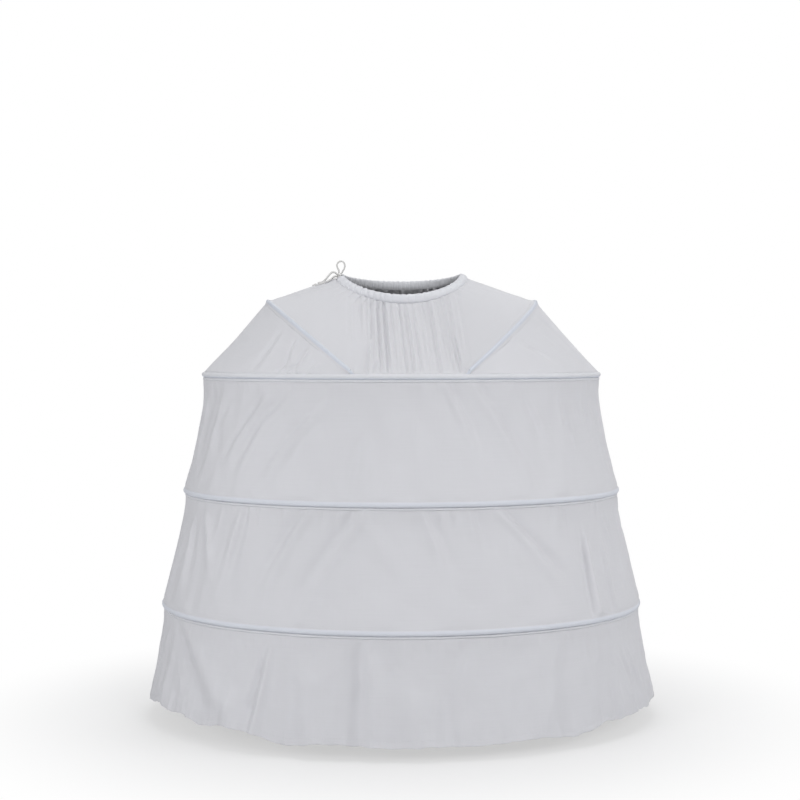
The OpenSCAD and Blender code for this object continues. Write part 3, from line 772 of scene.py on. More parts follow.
class PETTICOAT_OT_waist_casing(bpy.types.Operator):
    """Makes the gathered casing that the drawstring runs through"""

    bl_idname = "petticoat.waist_casing"
    bl_label = "Waist casing"
    COLUMNS = 860
    SECTION = np.radians(np.linspace(258, -78, 19))
    CLOTH_T = 0.6 * MM
    PINCH, PINCHED, PUFFED, RUFFLED = 0.35, (-1.0, -0.45), (-1, -0.2), (0.2, 1)
    WALL_PUFF, TOP_PUFF = 0.24, 0.5
    RUFFLE, RUFFLE_PITCH = 0.9 * MM, 11 * MM

    def execute(self, context):
        s = sizes()
        form = Form(s)
        half_turn = s.waist_split / 2 / form.side_bend
        ang = np.linspace(math.pi + half_turn, 3 * math.pi - half_turn, self.COLUMNS)[None]
        lay = self.SECTION[:, None]
        puff = waist_puffs(form, ang)
        rise = np.sin(lay)
        pinch = mix(self.PINCH, 1, smooth(*self.PINCHED, rise))
        out = (form.WAIST_T * pinch + puff * smooth(*self.PUFFED, rise)) * np.cos(lay)
        out = out + self.WALL_PUFF * puff * np.sign(np.cos(lay))
        ruffle = self.RUFFLE * ripple(ang * form.waist_a, self.RUFFLE_PITCH, 5) + self.TOP_PUFF * puff
        up = s.waist_casing_h / 2 * rise + ruffle * smooth(*self.RUFFLED, rise)
        grid = form.waist_point(np.broadcast_to(ang, out.shape), out, up)
        piece = cloth_piece("waist_casing", grid, self.CLOTH_T, "waist_weave")
        return {"FINISHED"}


# Yoke and hips

# A fold: the place across the panel and the share of its height where the fold starts, the same
# where it ends, half-width, height in millimetres, skew. Here places and widths are in metres.
YOKE_FOLDS = [
    (-0.0930, -0.4, -0.1010, 0.90, 0.0030, 2.6, 0.7),
    (-0.0800, -0.4, -0.0830, 1.10, 0.0032, 3.0, -0.7),
    (-0.0665, -0.5, -0.0650, 1.50, 0.0034, 3.4, -0.85),
    (-0.0525, -0.6, -0.0505, 1.80, 0.0034, 3.6, -0.85),
    (-0.0435, -0.6, -0.0400, 2.00, 0.0032, 3.2, 0.85),
    (-0.0290, -0.4, -0.0250, 1.60, 0.0034, 2.2, 0.7),
    (-0.0170, -0.4, -0.0085, 2.10, 0.0040, 3.6, -0.8),
    (0.0030, -0.4, 0.0170, 2.10, 0.0040, 3.8, 0.8),
    (0.0210, -0.4, 0.0300, 1.60, 0.0036, 2.4, 0.7),
    (0.0380, -0.4, 0.0500, 1.90, 0.0038, 2.6, -0.7),
    (0.0560, -0.5, 0.0760, 2.10, 0.0042, 3.8, 0.8),
    (0.0720, -0.3, 0.0850, 1.40, 0.0034, 2.0, -0.7),
    (0.0860, -0.5, 0.1060, 2.00, 0.0040, 2.8, 0.8),
    (0.1020, -0.4, 0.1160, 1.80, 0.0036, 2.6, 0.7),
    (0.1200, -0.3, 0.1280, 1.50, 0.0036, 2.2, -0.7),
    (-0.1190, -0.3, -0.1280, 0.90, 0.0036, 1.8, 0.5),
    (-0.0780, 0.45, -0.0980, 1.40, 0.0034, 2.4, 0.8),
    (-0.0660, 0.72, -0.1060, 1.50, 0.0036, 2.2, -0.8),
    (0.1000, 0.35, 0.1240, 1.50, 0.0034, 2.0, 0.8),
]
# Creases of the shelves beside the waist, with places and widths in degrees round the waist
SHELF_FOLDS = [
    (193, -0.2, 184, 1.70, 0.9, 2.2, 0.8),
    (204, -0.2, 189, 1.20, 1.0, 1.0, -0.7),
    (347, -0.2, 356, 1.70, 0.9, 1.6, -0.8),
    (336, -0.2, 350, 1.20, 1.0, 0.8, 0.7),
]


def fine_creases(seed, count):
    """Short fine creases that hang from the gathered edge, between the long ones."""
    rng = np.random.default_rng(seed)
    lines = []
    for x in np.linspace(-0.125, 0.125, count) + rng.normal(0, 0.002, count):
        foot, end = x * rng.uniform(0.94, 1.02), rng.uniform(0.35, 1.5)
        wide, high = rng.uniform(0.0018, 0.0030), rng.uniform(0.3, 0.7)
        skew = rng.choice((-1, 1)) * rng.uniform(0.5, 0.85)
        lines.append((x, -0.2, foot, end, wide, high, skew))
    return lines


def back_yoke_folds(seed, count):
    """Creases of the back yoke, which hang from the gathered edge."""
    rng = np.random.default_rng(seed)
    lines = []
    for x in np.linspace(-0.12, 0.12, count) + rng.normal(0, 0.003, count):
        end, high, skew = rng.uniform(0.9, 2.0), rng.uniform(1.8, 4.2), rng.uniform(-0.85, 0.85)
        lines.append((x, -0.3, x * 1.02, end, 0.0048, high, skew))
    return lines


class PETTICOAT_OT_yokes(bpy.types.Operator):
    """Makes the gathered yokes, from the waist out to the hip arcs and the upper hoop"""

    bl_idname = "petticoat.yokes"
    bl_label = "Yokes"
    ROWS = np.linspace(0, 1, 48)
    FRONT_COLUMNS = stretches((0, 28, 52, Form.YOKE_COLS), (150, 320, 150))
    BACK_COLUMNS = np.linspace(0, Form.YOKE_COLS, 341)
    TOP_EASE, FOOT_EASE, END_EASE = 0.012, 0.05, 0.06
    PUFF_GAIN, PUFF_FADE = 1.7, 0.11
    SWELL = 0.45 * MM

    def execute(self, context):
        s = sizes()
        form = Form(s)
        down = self.ROWS[:, None]
        hang = smooth(0, self.TOP_EASE, down) * smooth(0, self.FOOT_EASE, 1 - down)
        for side, c, lines, seed in (
            ("front", self.FRONT_COLUMNS, YOKE_FOLDS + fine_creases(12, 14), 3),
            ("back", self.BACK_COLUMNS, back_yoke_folds(31, 17), 8),
        ):
            grid, ang = form.yoke(c, self.ROWS)
            ends = smooth(0, self.END_EASE, np.minimum(ang - math.pi, 2 * math.pi - ang))[None]
            turn = ang if side == "front" else 3 * math.pi - ang
            puff = waist_puffs(form, turn)[None]
            height = self.PUFF_GAIN * puff * np.exp(-down / self.PUFF_FADE)
            height = height + folds(grid[..., 0], down, lines)
            height = height + folds(np.degrees(ang)[None], down, SHELF_FOLDS)
            height = height + self.SWELL * drift(grid[..., 0] * 2, grid[..., 2], seed)
            height = height * hang * ends
            if side == "back":
                lift = (s.waist_dip - s.waist_back_dip) * np.abs(np.sin(ang)) ** form.DIP_CURVE
                grid[..., 2] += lift[None] * (1 - down)
            grid = relief(grid, height)
            if side == "back":
                grid = mirrored(grid, 1)
            piece = cloth_piece(f"{side}_yoke", grid, s.cloth_t, "cotton_weave")
        return {"FINISHED"}


# Folds of the gussets, with places and widths from -1 at the front foot to 1 at the back one
RIGHT_GUSSET_FOLDS = [
    (-0.662, 0.10, -0.800, 1.25, 0.010, 3.8, -0.85),
    (-0.760, 0.10, -0.830, 1.50, 0.010, 4.6, -0.85),
    (-0.789, 0.55, -0.782, 1.60, 0.008, 3.0, -0.85),
    (-0.747, 0.60, -0.746, 1.60, 0.008, 3.0, -0.85),
    (-0.545, 0.10, -0.655, 1.30, 0.022, 3.8, -0.7),
    (-0.863, 0.35, -0.857, 1.50, 0.010, 2.2, -0.85),
    (0.45, 0.10, 0.30, 1.00, 0.026, 1.6, 0.6),
    (0.65, 0.10, 0.52, 1.00, 0.022, 1.6, -0.6),
]
LEFT_GUSSET_FOLDS = [
    (-0.70, 0.08, -0.56, 1.15, 0.016, 1.3, 0.8),
    (-0.52, 0.08, -0.38, 1.10, 0.018, 1.2, -0.8),
    (-0.36, 0.06, -0.26, 1.00, 0.020, 1.0, 0.8),
    (0.45, 0.10, 0.30, 1.00, 0.026, 1.6, 0.6),
    (0.65, 0.10, 0.52, 1.00, 0.022, 1.6, -0.6),
]


class PETTICOAT_OT_hip_gussets(bpy.types.Operator):
    """Makes the side panels stretched from each hip arc to the upper hoop"""

    bl_idname = "petticoat.hip_gussets"
    bl_label = "Hip gussets"
    COLUMNS = stretches((-1, -0.5, 1), (120, 120))
    ROWS = np.linspace(0, 1, 34)
    EASE, END_EASE = 0.08, 0.1
    SWELL, HOLLOW = 0.6 * MM, 2.5 * MM

    def execute(self, context):
        s = sizes()
        base = Form(s).gusset(self.COLUMNS, self.ROWS)
        along, down = self.COLUMNS[None], self.ROWS[:, None]
        hang = smooth(0, self.EASE, down) * smooth(0, self.EASE, 1 - down)
        hang = hang * smooth(0, self.END_EASE, 1 - np.abs(along))
        for side, lines in (("left", LEFT_GUSSET_FOLDS), ("right", RIGHT_GUSSET_FOLDS)):
            height = folds(along, down, lines)
            height = height + self.SWELL * drift(base[..., 1], base[..., 2], len(lines))
            height = height - self.HOLLOW * np.sin(math.pi * down) * (1 - along**2)
            grid = relief(base, height * hang)
            if side == "right":
                grid = mirrored(grid, 0)
            piece = cloth_piece(f"{side}_hip_gusset", grid, s.cloth_t, "cotton_weave")
        return {"FINISHED"}


class PETTICOAT_OT_hip_casings(bpy.types.Operator):
    """Makes the strips of cloth that lie over the hip bones, stitched down on both sides"""

    bl_idname = "petticoat.hip_casings"
    bl_label = "Hip casings"
    COLUMNS = 320
    CLOTH_T, WALL = 0.5 * MM, 0.8 * MM
    BAND, BAND_SHARE = 8 * MM, 0.3
    TUCK, TUCKED, SEWN_DOWN = 9 * MM, (-0.6, 1), 1 * MM
    LIFT_OUT, LIFT_UP = 0.4, 0.9
    # Rows beside the bone: share of the band, and height in millimetres
    YOKE_SIDE = ((1, -0.4), (0.75, 0.4), (0.5, 0.7), (0.25, 0.8))
    OVER_BONE = np.radians(range(112, -80, -16))
    GUSSET_SIDE = ((0.25, 1.2), (0.5, 0.9), (0.75, 0.5), (1, -0.6))
    EASINGS = 3
    PUCKER, PUCKER_PITCH, PUCKER_SLANT = 0.3 * MM, 14 * MM, 1.5 * MM

    def execute(self, context):
        s = sizes()
        form = Form(s)
        reach = form.hip_half_turn + self.TUCK / form.hip_radius
        turn = np.linspace(-reach, reach, self.COLUMNS)
        share = np.clip(turn / form.hip_half_turn, -1, 1)
        r = s.hip_casing_r - self.WALL
        yoke_edge = form.hip_point(turn, r, form.YOKE_ON_ARC)
        gusset_edge = form.hip_point(turn, r, form.GUSSET_ON_ARC)
        waist = share * math.pi * form.YOKE_ARC_COLS / form.YOKE_COLS
        up_yoke = unit(form.waist_point(waist, 0, -s.waist_casing_h / 2) - yoke_edge)
        hoop_top = form.level[0] + s.hoop_casing_r
        x, y = form.oval(form.semi[0], share * form.gusset_turn + 2 * math.pi)
        drop = np.stack([x, y, np.full(self.COLUMNS, hoop_top)], -1) - gusset_edge
        room = np.minimum(self.BAND, self.BAND_SHARE * np.linalg.norm(drop, axis=-1))[:, None]
        out = form.hip_out(turn)
        lift = out * self.LIFT_OUT + form.hip_top * self.LIFT_UP
        rows = [yoke_edge + up_yoke * self.BAND * k + lift * rise * MM for k, rise in self.YOKE_SIDE]
        rows += [form.hip_point(turn, r, lay) for lay in self.OVER_BONE]
        rows += [gusset_edge + unit(drop) * room * k + out * rise * MM for k, rise in self.GUSSET_SIDE]
        band = np.stack(rows)
        for _ in range(self.EASINGS):
            band[1:-1] = 0.5 * band[1:-1] + 0.25 * (band[:-2] + band[2:])
        sewn = band.copy()
        sewn[..., 1] = -np.sign(turn) * form.oval_front_y(form.semi[0], band[..., 0])
        sewn[..., 2] = hoop_top - self.SEWN_DOWN
        past = (np.abs(turn) - form.hip_half_turn) * form.hip_radius / self.TUCK
        band = mix(band, sewn, smooth(*self.TUCKED, past)[None, :, None])
        slant = (turn * form.hip_radius)[None] + self.PUCKER_SLANT * np.arange(len(rows))[:, None]
        for side, seed in (("left", 41), ("right", 47)):
            grid = relief(band, self.PUCKER * ripple(slant, self.PUCKER_PITCH, seed))
            if side == "right":
                grid = mirrored(grid, 0)
            piece = cloth_piece(f"{side}_hip_casing", grid, self.CLOTH_T, "hip_casing_weave")
        return {"FINISHED"}


# Hoop casings

HOOPS = ("upper", "middle", "lower")


class PETTICOAT_OT_hoop_casings(bpy.types.Operator):
    """Makes the strips of cloth folded round the hoops and stitched below them"""

    bl_idname = "petticoat.hoop_casings"
    bl_label = "Hoop casings"
    COLUMNS, ROUND_ROWS = 560, 15
    CLOTH_T, LEAF_GAP = 0.45 * MM, 1 * MM
    BEND = 1.7 * MM
    STRIP_H = 0.048
    # Waves of the tube's girth and of the outer leaf's edge: height, pitch, seed
    GIRTH = ((0.05, 0.035, 60), (0.025, 0.012, 70))
    DROOP = ((0.5 * MM, 0.11, 80), (0.3 * MM, 0.016, 90))

    def section(self, s, form):
        """Places out from the hoop and up: the inner leaf, round the tube, and the outer leaf."""
        r = s.hoop_casing_r
        inner, outer, lean = form.FLANGE_X, form.FLANGE_X + self.LEAF_GAP, form.FLANGE_LEAN
        foot, bend = -form.flange_end, -r - self.BEND
        lay = np.linspace(2 * math.pi - math.acos(inner / r), -math.acos(outer / r), self.ROUND_ROWS)
        tube = np.stack([r * np.cos(lay), r * np.sin(lay)], -1)
        inner_leaf = [(inner + lean, foot), (inner + lean, bend)]
        outer_leaf = [(outer + lean, bend), (outer + lean, foot)]
        return np.concatenate([inner_leaf, tube, outer_leaf])

    def execute(self, context):
        s = sizes()
        form = Form(s)
        section = self.section(s, form)
        row = np.arange(len(section))[:, None]
        on_outer_leaf = row >= len(section) - 2
        on_tube = (row >= 2) & ~on_outer_leaf
        for i, hoop in enumerate(HOOPS):
            back = s.casing_mouth / 2 / (form.semi[i] + 2 * form.u)
            ang = np.linspace(math.pi / 2 + back, 5 * math.pi / 2 - back, self.COLUMNS)[None]
            run = ang * form.semi[i]
            girth = 1 + sum(high * ripple(run, pitch, seed + i) for high, pitch, seed in self.GIRTH)
            droop = sum(high * ripple(run, pitch, seed + i) for high, pitch, seed in self.DROOP)
            grow = np.where(on_tube, girth, 1)
            out = section[:, :1] * grow
            up = section[:, 1:] * grow + np.where(on_outer_leaf, droop, 0)
            x, y = form.oval(form.semi[i] + out, np.broadcast_to(ang, out.shape))
            grid = np.stack([x, y, form.level[i] + up], -1)
            piece = cloth_piece(f"{hoop}_hoop_casing", grid, self.CLOTH_T, "hoop_casing_weave")
        return {"FINISHED"}


# Tiers and flounces

# Folds of the front panels, with places and widths in degrees from the middle
UPPER_TIER_FOLDS = [
    (-26.8, 0.02, -48, 0.95, 1.5, 6.4, 0.8),
    (-33, 0.04, -54, 0.85, 1.5, 5.9, 0.8),
    (-18.5, 0.10, -40, 1.15, 1.6, 5.3, 0.8),
    (-23, 0.30, -33, 0.95, 1.2, 3.4, -0.7),
    (-10.5, 0.40, -12.5, 1.05, 1.4, 2.8, 0.7),
    (-58, 0.05, -66, 0.95, 2.0, 6.2, 0.6),
    (-71, 0.05, -76, 1.00, 2.2, 5.0, -0.6),
    (6.7, -0.10, 17, 0.75, 1.0, 4.8, -0.8),
    (12.6, -0.12, 31.2, 1.10, 1.3, 4.6, -0.8),
    (28, 0.05, 35, 0.65, 1.2, 3.6, 0.8),
    (41, 0.10, 44, 0.80, 1.6, 2.8, -0.7),
    (52, 0.05, 59, 0.90, 1.8, 4.2, -0.6),
    (69, 0.05, 73, 0.95, 2.0, 4.2, 0.6),
]
MIDDLE_TIER_FOLDS = [
    (-21, -0.12, -34, 0.95, 1.3, 8.7, 0.85),
    (-8, -0.15, -25.5, 1.15, 1.4, 7.2, 0.85),
    (-39, -0.05, -44.5, 0.80, 1.3, 5.8, -0.8),
    (-60, 0.02, -51, 0.75, 1.4, 7.8, 0.8),
    (-66, 0.10, -63, 0.95, 1.6, 5.2, -0.7),
    (1.6, -0.10, 8.1, 0.65, 1.0, 4.6, -0.8),
    (12, -0.10, 15.5, 0.45, 0.9, 3.0, -0.8),
    (16.8, -0.10, 37.2, 0.95, 1.4, 7.0, -0.8),
    (44, 0.15, 43.2, 1.60, 1.2, 8.1, 0.85),
    (52, 0.25, 52.5, 1.50, 1.0, 4.5, 0.7),
    (56, 0.05, 61, 0.90, 1.4, 5.5, -0.7),
    (69, 0.00, 73, 0.95, 1.8, 4.6, 0.7),
]
# Short gathers under the middle hoop, in degrees from the middle
SHORT_GATHERS = (-37.5, -34.5, -28.5, -18.5, -15.5, -12.5, -10.8, 6, 9, 33, 36.5, 52)
MIDDLE_TIER_FOLDS += [(a, -0.08, a * 1.02, 0.22, 0.5, 2.6, 0.8) for a in SHORT_GATHERS]
FLOUNCE_FOLDS = [
    (-28.6, -0.05, -33.9, 2.00, 0.9, 8.5, 0.9),
    (-23, 0.10, -20, 2.00, 2.4, 9.0, 0.8),
    (-9.2, -0.10, -8.2, 2.00, 1.5, 11.5, 0.8),
    (-0.5, 0.30, 0.5, 2.00, 2.4, 6.0, 0.1),
    (5.2, 0.35, 5.8, 2.00, 1.8, -6.0, 0.7),
    (17, 0.10, 19, 1.90, 3.0, 3.4, 0.4),
    (30, 0.20, 30.5, 1.60, 1.6, -3.5, 0.6),
    (38, 0.40, 40, 1.90, 2.2, 3.0, -0.5),
    (47, 0.50, 44, 1.80, 1.5, -4.0, 0.6),
    (52, 0.25, 60, 1.10, 1.2, -5.0, 0.8),
    (57, 0.25, 65, 0.95, 1.2, 4.2, 0.6),
    (54, 0.60, 62, 1.40, 1.3, -4.0, 0.7),
    (75, 0.10, 75, 1.90, 2.4, 6.0, 0.3),
    (-38, 0.45, -39, 1.90, 1.6, 3.5, 0.6),
    (-63, -0.05, -34, 1.40, 4.0, 8.5, 0.75),
    (-66, 0.05, -68, 1.70, 2.6, 6.0, 0.5),
    (-78, 0.20, -78, 1.90, 2.2, -4.6, 0.3),
]
# Lifts of the front hem: degrees from the middle, half-width in degrees, height in millimetres
HEM_LIFTS = [
    (-67, 8, 22), (-54, 6, 19), (-39, 6, 15), (-31, 4, 6), (-24, 5, -9), (-3, 7, -6),
    (12, 7, -5), (32, 4, -7), (43, 4, 12), (51, 4.5, 8), (60, 6, 9),
]
# At the wearer's left and right side seams the hem lifts too, over a half-width in degrees
LEFT_SEAM_LIFT, RIGHT_SEAM_LIFT, SEAM_LIFT_WIDE = 24 * MM, 13 * MM, 18
HALF_PANEL = 90
SEAM_EASE = (0.2, 4)
SEAM_DEPTH, SEAM_WIDE = 0.7 * MM, 0.6
SEWN_ABOVE = 4 * MM


def panel_angles(side, columns):
    """Angles of a half panel's columns, and degrees from its middle."""
    start = math.pi if side == "front" else 0
    across = np.linspace(-HALF_PANEL, HALF_PANEL, columns)
    return np.radians(across + HALF_PANEL) + start, across[None]


def seam_ends(across):
    """One over a panel and nought at its side seams, and the hollow of the seam itself."""
    to_seam = HALF_PANEL - np.abs(across)
    return smooth(*SEAM_EASE, to_seam), -SEAM_DEPTH * hump(to_seam, 0, SEAM_WIDE)


def puckers(across, away, seed, high, pitch, fade):
    """Small gathers along a sewn edge, which die out away from it."""
    return high * ripple(across, pitch, seed) * np.exp(-away / fade)


class PETTICOAT_OT_tiers(bpy.types.Operator):
    """Makes the cloth between the hoops, drawn over the outer side of the lower casing"""

    bl_idname = "petticoat.tiers"
    bl_label = "Tiers"
    COLUMNS = 361
    ROWS = np.concatenate([np.linspace(0, 0.955, 33), (0.973, 0.987, 1)])
    TOP_ROW = -0.03
    FLAT = ((1.56, 0.277), (1.71, 0.276))
    ON_HOOP = math.radians(42)
    TURNED_UNDER = np.radians((27, 13, 0, -13, -26, -40, -54))
    LOOSE_COUNT, LOOSE_HIGH = {"front": 24, "back": 44}, 2.4
    SWELL, DEGREE = 1.0 * MM, 8.5 * MM
    SEWN_AT, SEWN_WIDE, SEWN_DEPTH = 0.985, 0.012, 1.3 * MM
    TOP_PUCKER, FOOT_PUCKER = (0.9 * MM, 1.7, 0.06), (0.35 * MM, 1.3, 0.04)
    TOP_EASE, FOOT_EASE = (-0.02, 0.03), 0.06

    def execute(self, context):
        s = sizes()
        form = Form(s)
        t, under = self.ROWS, self.TURNED_UNDER
        down = np.concatenate([[self.TOP_ROW], t, np.ones(len(under))])[:, None]
        wrap = s.hoop_casing_r + SEAM_GAP + s.cloth_t
        tiers = (("upper", UPPER_TIER_FOLDS), ("middle", MIDDLE_TIER_FOLDS))
        for i, (tier, front_lines) in enumerate(tiers):
            hoop_x, hoop_z = form.semi[i + 1], form.level[i + 1]
            x0, x1 = form.semi[i] + form.tier_x, hoop_x + wrap * math.cos(self.ON_HOOP)
            top, foot = form.level[i] - form.flange_end, hoop_z + wrap * math.sin(self.ON_HOOP)
            hang = mix(x0, x1, t ** form.TIER_FLARE[i]) + form.top_lean(t)
            half = np.concatenate([[x0], hang, hoop_x + wrap * np.cos(under)])[:, None]
            sewn = [form.level[i] - SEWN_ABOVE]
            z = np.concatenate([sewn, mix(top, foot, t), hoop_z + wrap * np.sin(under)])[:, None]
            for side in ("front", "back"):
                ang, across = panel_angles(side, self.COLUMNS)
                x, y = form.oval(half, np.broadcast_to(ang, (len(half), self.COLUMNS)))
                grid = np.stack([x, y, np.broadcast_to(z, x.shape)], -1)
                seed = 100 + 10 * i + (side == "back")
                lines = front_lines if side == "front" else []
                lines = lines + loose_folds(seed, self.LOOSE_COUNT[side], self.LOOSE_HIGH)
                height = folds(across, down, lines)
                height = height + puckers(across, np.maximum(down, 0), seed + 2, *self.TOP_PUCKER)
                height = height + self.SWELL * drift(across * self.DEGREE, z, seed + 5)
                height = height * smooth(*self.TOP_EASE, down) * smooth(0, self.FOOT_EASE, 1 - down)
                row = hump(down, self.SEWN_AT, self.SEWN_WIDE) * (down < 1)
                height = height - self.SEWN_DEPTH * row
                height = height + puckers(across, 1 - down, seed + 3, *self.FOOT_PUCKER)
                over, seam = seam_ends(across)
                grid = relief(grid, height * over + seam * (down < 1))
                piece = cloth_piece(f"{side}_{tier}_tier", grid, s.cloth_t, "tier_weave")
        return {"FINISHED"}


class PETTICOAT_OT_flounces(bpy.types.Operator):
    """Makes the free frill below the lower hoop, with its folded hem"""

    bl_idname = "petticoat.flounces"
    bl_label = "Flounces"
    COLUMNS = 421
    ROWS = np.concatenate([np.linspace(0, 0.985, 35), (0.9965, 1)])
    TOP_ROW = -0.04
    LOOSE_COUNT, LOOSE_HIGH = 16, {"front": 1.7, "back": 2.2}
    BACK_SHIFT, BACK_GAIN = 4, 1.2
    TOP_PUCKER, TOP_EASE = (1.0 * MM, 1.5, 0.09), (-0.02, 0.06)
    HEM_PUCKER, HEM_PITCH, HEM_PUCKERED = 1.0 * MM, 2.6, (0.7, 1)
    SWELL, DEGREE = 0.9 * MM, 10 * MM
    SMALL_SWELL, SMALL_DEGREE, SMALL_FALL = 0.5 * MM, 18 * MM, 1.8
    HEM_STEP, HEM_STEP_WIDE, HEM_LINE_WIDE = 0.5 * MM, 0.02, 0.012
    HEM_RIPPLE, HEM_RIPPLE_PITCH, HEM_LIFTED = 1.3 * MM, 3.4, (0.5, 1)
    BACK_RIPPLE, BACK_RIPPLE_PITCH = 3.2 * MM, 16

    def fold_lines(self, side, seed):
        """Folds of a flounce. The back has those of the front the other way round, and stronger."""
        lines = FLOUNCE_FOLDS
        if side == "back":
            shift, gain = self.BACK_SHIFT, self.BACK_GAIN
            lines = [(-a - shift, b, -c - shift, d, w, gain * h, k) for a, b, c, d, w, h, k in lines]
        return lines + loose_folds(seed, self.LOOSE_COUNT, self.LOOSE_HIGH[side])

    def execute(self, context):
        s = sizes()
        form = Form(s)
        t = self.ROWS
        down = np.concatenate([[self.TOP_ROW], t])[:, None]
        free = np.maximum(down, 0)
        top, foot = form.level[2] - form.flange_end, -s.hem_drop
        x0 = form.semi[2] + form.tier_x
        half = mix(x0, s.hem_w / 2, free**form.FLOUNCE_FLARE) + form.top_lean(down) * (down >= 0)
        z = np.concatenate([[form.level[2] - SEWN_ABOVE], mix(top, foot, t)])[:, None]
        hem_turn = 1 - s.hem_fold_h / (top - foot)
        for side in ("front", "back"):
            ang, across = panel_angles(side, self.COLUMNS)
            x, y = form.oval(half, np.broadcast_to(ang, (len(half), self.COLUMNS)))
            seed = 200 + (side == "back")
            height = folds(across, down, self.fold_lines(side, seed))
            height = height + puckers(across, free, seed + 2, *self.TOP_PUCKER)
            height = height + self.SWELL * drift(across * self.DEGREE, z, seed + 5)
            small = drift(across * self.SMALL_DEGREE, z * self.SMALL_FALL, seed + 8)
            height = height + self.SMALL_SWELL * small
            hem_pucker = ripple(across, self.HEM_PITCH, seed + 4) * smooth(*self.HEM_PUCKERED, free)
            height = height + self.HEM_PUCKER * hem_pucker
            height = height * smooth(*self.TOP_EASE, down)
            step = smooth(hem_turn, hem_turn + self.HEM_STEP_WIDE, down)
            height = height + self.HEM_STEP * (step - hump(down, hem_turn, self.HEM_LINE_WIDE))
            rise = self.HEM_RIPPLE * ripple(across, self.HEM_RIPPLE_PITCH, seed + 7)
            if side == "front":
                rise = rise + sum(high * MM * hump(across, at, wide) for at, wide, high in HEM_LIFTS)
            else:
                rise = rise + self.BACK_RIPPLE * ripple(across, self.BACK_RIPPLE_PITCH, seed + 6)
            over, seam = seam_ends(across)
            seam_lift = np.where(x > 0, LEFT_SEAM_LIFT, RIGHT_SEAM_LIFT)
            rise = rise * over + seam_lift * hump(HALF_PANEL - np.abs(across), 0, SEAM_LIFT_WIDE)
            grid = np.stack([x, y, z + rise * smooth(*self.HEM_LIFTED, free)], -1)
            grid = relief(grid, height * over + seam)
            piece = cloth_piece(f"{side}_flounce", grid, s.cloth_t, "hem_weave")
        return {"FINISHED"}


# Wires, ferrules and bones


class PETTICOAT_OT_frame_metal(bpy.types.Operator):
    """Finishes the wires, bones and ferrules inside the casings"""

    bl_idname = "petticoat.frame_metal"
    bl_label = "Wires and ferrules"
    WIRES = ("upper_hoop", "middle_hoop", "lower_hoop", "left_hip_bone", "right_hip_bone")
    FERRULES = ("upper_hoop_joiner", "middle_hoop_joiner", "lower_hoop_joiner", "hip_bone_tips")

    def execute(self, context):
        for kind, names in (("coated_wire", self.WIRES), ("drawn_ferrule", self.FERRULES)):
            for name in names:
                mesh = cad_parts[name].data
                mesh.materials.clear()
                mesh.materials.append(finish(kind))
        return {"FINISHED"}


# Stage

CAMERA_AWAY = 4.0
CAMERA_TURN = math.radians(-2.7)
CAMERA_LEVEL = -0.182
CAMERA_LENS, CAMERA_SENSOR = 75, 36
CAMERA_PITCH = math.radians(-1.72)
CAMERA_YAW = math.radians(0.05)
FLOOR_LEVEL, FLOOR_SIZE = -1.045, 40
FLOOR_FADE, FLOOR_LEAST = (0.45, 1.15), 0.55
# Name, place, size and power in watts
LAMPS = (
    ("key", (1.2, -3.6, 0.9), 1.3, 34),
    ("fill", (-2.6, -2.9, 0.4), 1.4, 46),
    ("top", (0.2, -0.3, 2.4), 1.6, 24),
    ("left side", (3.2, -1.2, 0.5), 1.4, 34),
    ("right side", (-3.2, -0.6, 0.4), 1.4, 11),
    ("back", (0.2, 3.2, 1.6), 2.6, 46),
)
LAMP_AIM = (0, 0, -0.32)
WORLD_LIGHT = 0.28
WORLD_TINT = (0.96, 0.98, 1, 1)


def area_lamp(name, place, size, power):
    lamp = bpy.data.lights.new(name, "AREA")
    lamp.shape = "DISK"
    lamp.size = size
    lamp.energy = power
    holder = placed(name, lamp)
    holder.location = place
    holder.rotation_euler = (Vector(LAMP_AIM) - Vector(place)).to_track_quat("-Z", "Y").to_euler()


def camera_rays(tree):
    path = tree.nodes.new("ShaderNodeLightPath")
    seen = math_node(tree, "MAXIMUM", path.outputs["Is Camera Ray"], path.outputs["Is Glossy Ray"])
    return math_node(tree, "MAXIMUM", seen, path.outputs["Is Transmission Ray"])


def mixed(tree, factor, first, second):
    both = tree.nodes.new("ShaderNodeMixShader")
    for socket, source in zip(both.inputs, (factor, first.outputs[0], second.outputs[0])):
        link(tree, source, socket)
    return both.outputs[0]


def white_world():
    world = bpy.data.worlds.new("studio")
    world.use_nodes = True
    tree = world.node_tree
    tree.nodes.clear()
    soft, white = (tree.nodes.new("ShaderNodeBackground") for _ in range(2))
    soft.inputs["Color"].default_value = WORLD_TINT
    soft.inputs["Strength"].default_value = WORLD_LIGHT
    white.inputs["Color"].default_value = (1, 1, 1, 1)
    output = tree.nodes.new("ShaderNodeOutputWorld")
    link(tree, mixed(tree, camera_rays(tree), soft, white), output.inputs["Surface"])
    bpy.context.scene.world = world


def floor_finish(base):
    """A pale floor that keeps the shadow near the object and fades into the white behind it."""
    material, tree, shader = new_material("pale_floor", 0.9)
    shader.inputs["Base Color"].default_value = [*base, 1]
    away = tree.nodes.new("ShaderNodeVectorMath")
    away.operation = "LENGTH"
    link(tree, places(tree, "Object"), away.inputs[0])
    fade = span(tree, away.outputs["Value"], *FLOOR_FADE, FLOOR_LEAST)
    shown = math_node(tree, "MULTIPLY", fade, camera_rays(tree))
    white = tree.nodes.new("ShaderNodeEmission")
    output = next(n for n in tree.nodes if n.type == "OUTPUT_MATERIAL")
    link(tree, mixed(tree, shown, shader, white), output.inputs["Surface"])
    return material


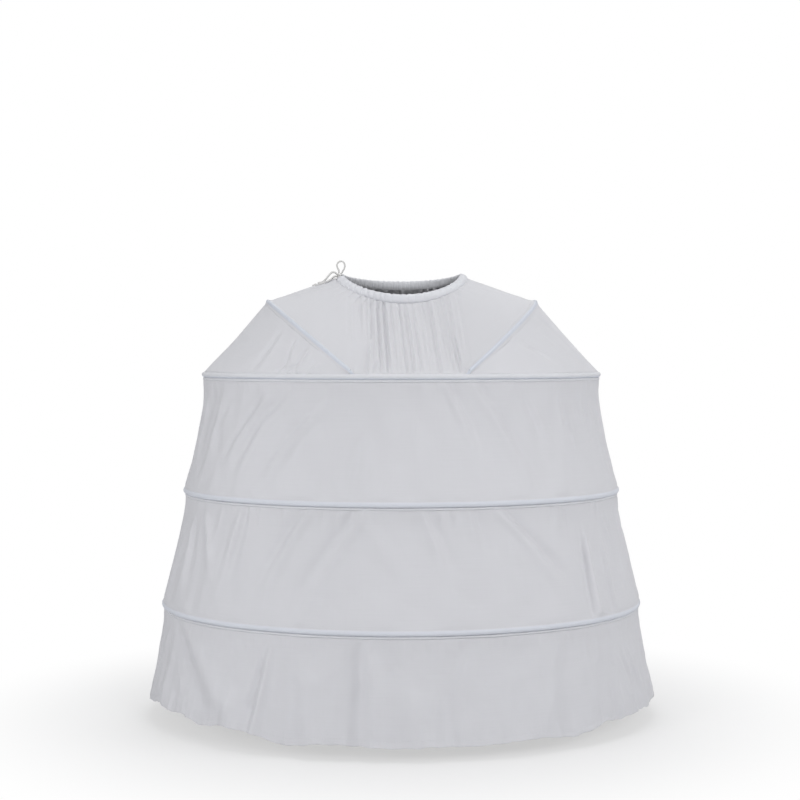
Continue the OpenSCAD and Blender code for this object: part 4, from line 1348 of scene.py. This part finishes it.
class PETTICOAT_OT_stage(bpy.types.Operator):
    """Sets up the camera, the lamps, the pale floor and the white behind it"""

    bl_idname = "petticoat.stage"
    bl_label = "Stage"

    def execute(self, context):
        scene = context.scene
        camera = bpy.data.cameras.new("camera")
        camera.lens = CAMERA_LENS
        camera.sensor_width = CAMERA_SENSOR
        holder = placed("camera", camera)
        x, y = CAMERA_AWAY * math.sin(CAMERA_TURN), -CAMERA_AWAY * math.cos(CAMERA_TURN)
        holder.location = (x, y, CAMERA_LEVEL)
        holder.rotation_euler = (math.pi / 2 + CAMERA_PITCH, 0, CAMERA_TURN + CAMERA_YAW)
        scene.camera = holder
        scene.view_settings.view_transform = "Standard"
        for lamp in LAMPS:
            area_lamp(*lamp)
        white_world()
        bpy.ops.object.select_all(action="DESELECT")
        bpy.ops.mesh.primitive_plane_add(size=FLOOR_SIZE, location=(0, 0, FLOOR_LEVEL))
        floor = context.active_object
        floor.name = "floor"
        floor.data.materials.append(floor_finish(colours().floor))
        return {"FINISHED"}


# Sidebar and running order

OPERATORS = (
    PETTICOAT_OT_stage,
    PETTICOAT_OT_bow,
    PETTICOAT_OT_waist_casing,
    PETTICOAT_OT_yokes,
    PETTICOAT_OT_hip_gussets,
    PETTICOAT_OT_hip_casings,
    PETTICOAT_OT_hoop_casings,
    PETTICOAT_OT_tiers,
    PETTICOAT_OT_flounces,
    PETTICOAT_OT_frame_metal,
)


class PETTICOAT_PT_sidebar(bpy.types.Panel):
    """Lists the pieces of the petticoat, with its sizes and colours"""

    bl_idname = "PETTICOAT_PT_sidebar"
    bl_label = "Hoop petticoat"
    bl_space_type = "VIEW_3D"
    bl_region_type = "UI"
    bl_category = "Petticoat"

    def draw(self, context):
        for operator in OPERATORS:
            self.layout.operator(operator.bl_idname)
        for group in (context.scene.petticoat_sizes, context.scene.petticoat_colours):
            box = self.layout.box()
            for key in group.bl_rna.properties.keys():
                if key not in ("rna_type", "name"):
                    box.prop(group, key)


CLASSES = (PetticoatSizes, PetticoatColours, *OPERATORS, PETTICOAT_PT_sidebar)


def register():
    for cls in CLASSES:
        bpy.utils.register_class(cls)
    bpy.types.Scene.petticoat_sizes = bpy.props.PointerProperty(type=PetticoatSizes)
    bpy.types.Scene.petticoat_colours = bpy.props.PointerProperty(type=PetticoatColours)


def unregister():
    del bpy.types.Scene.petticoat_colours
    del bpy.types.Scene.petticoat_sizes
    for cls in reversed(CLASSES):
        bpy.utils.unregister_class(cls)


def main():
    register()
    for operator in OPERATORS:
        group, name = operator.bl_idname.split(".")
        getattr(getattr(bpy.ops, group), name)()


if __name__ == "__main__":
    main()
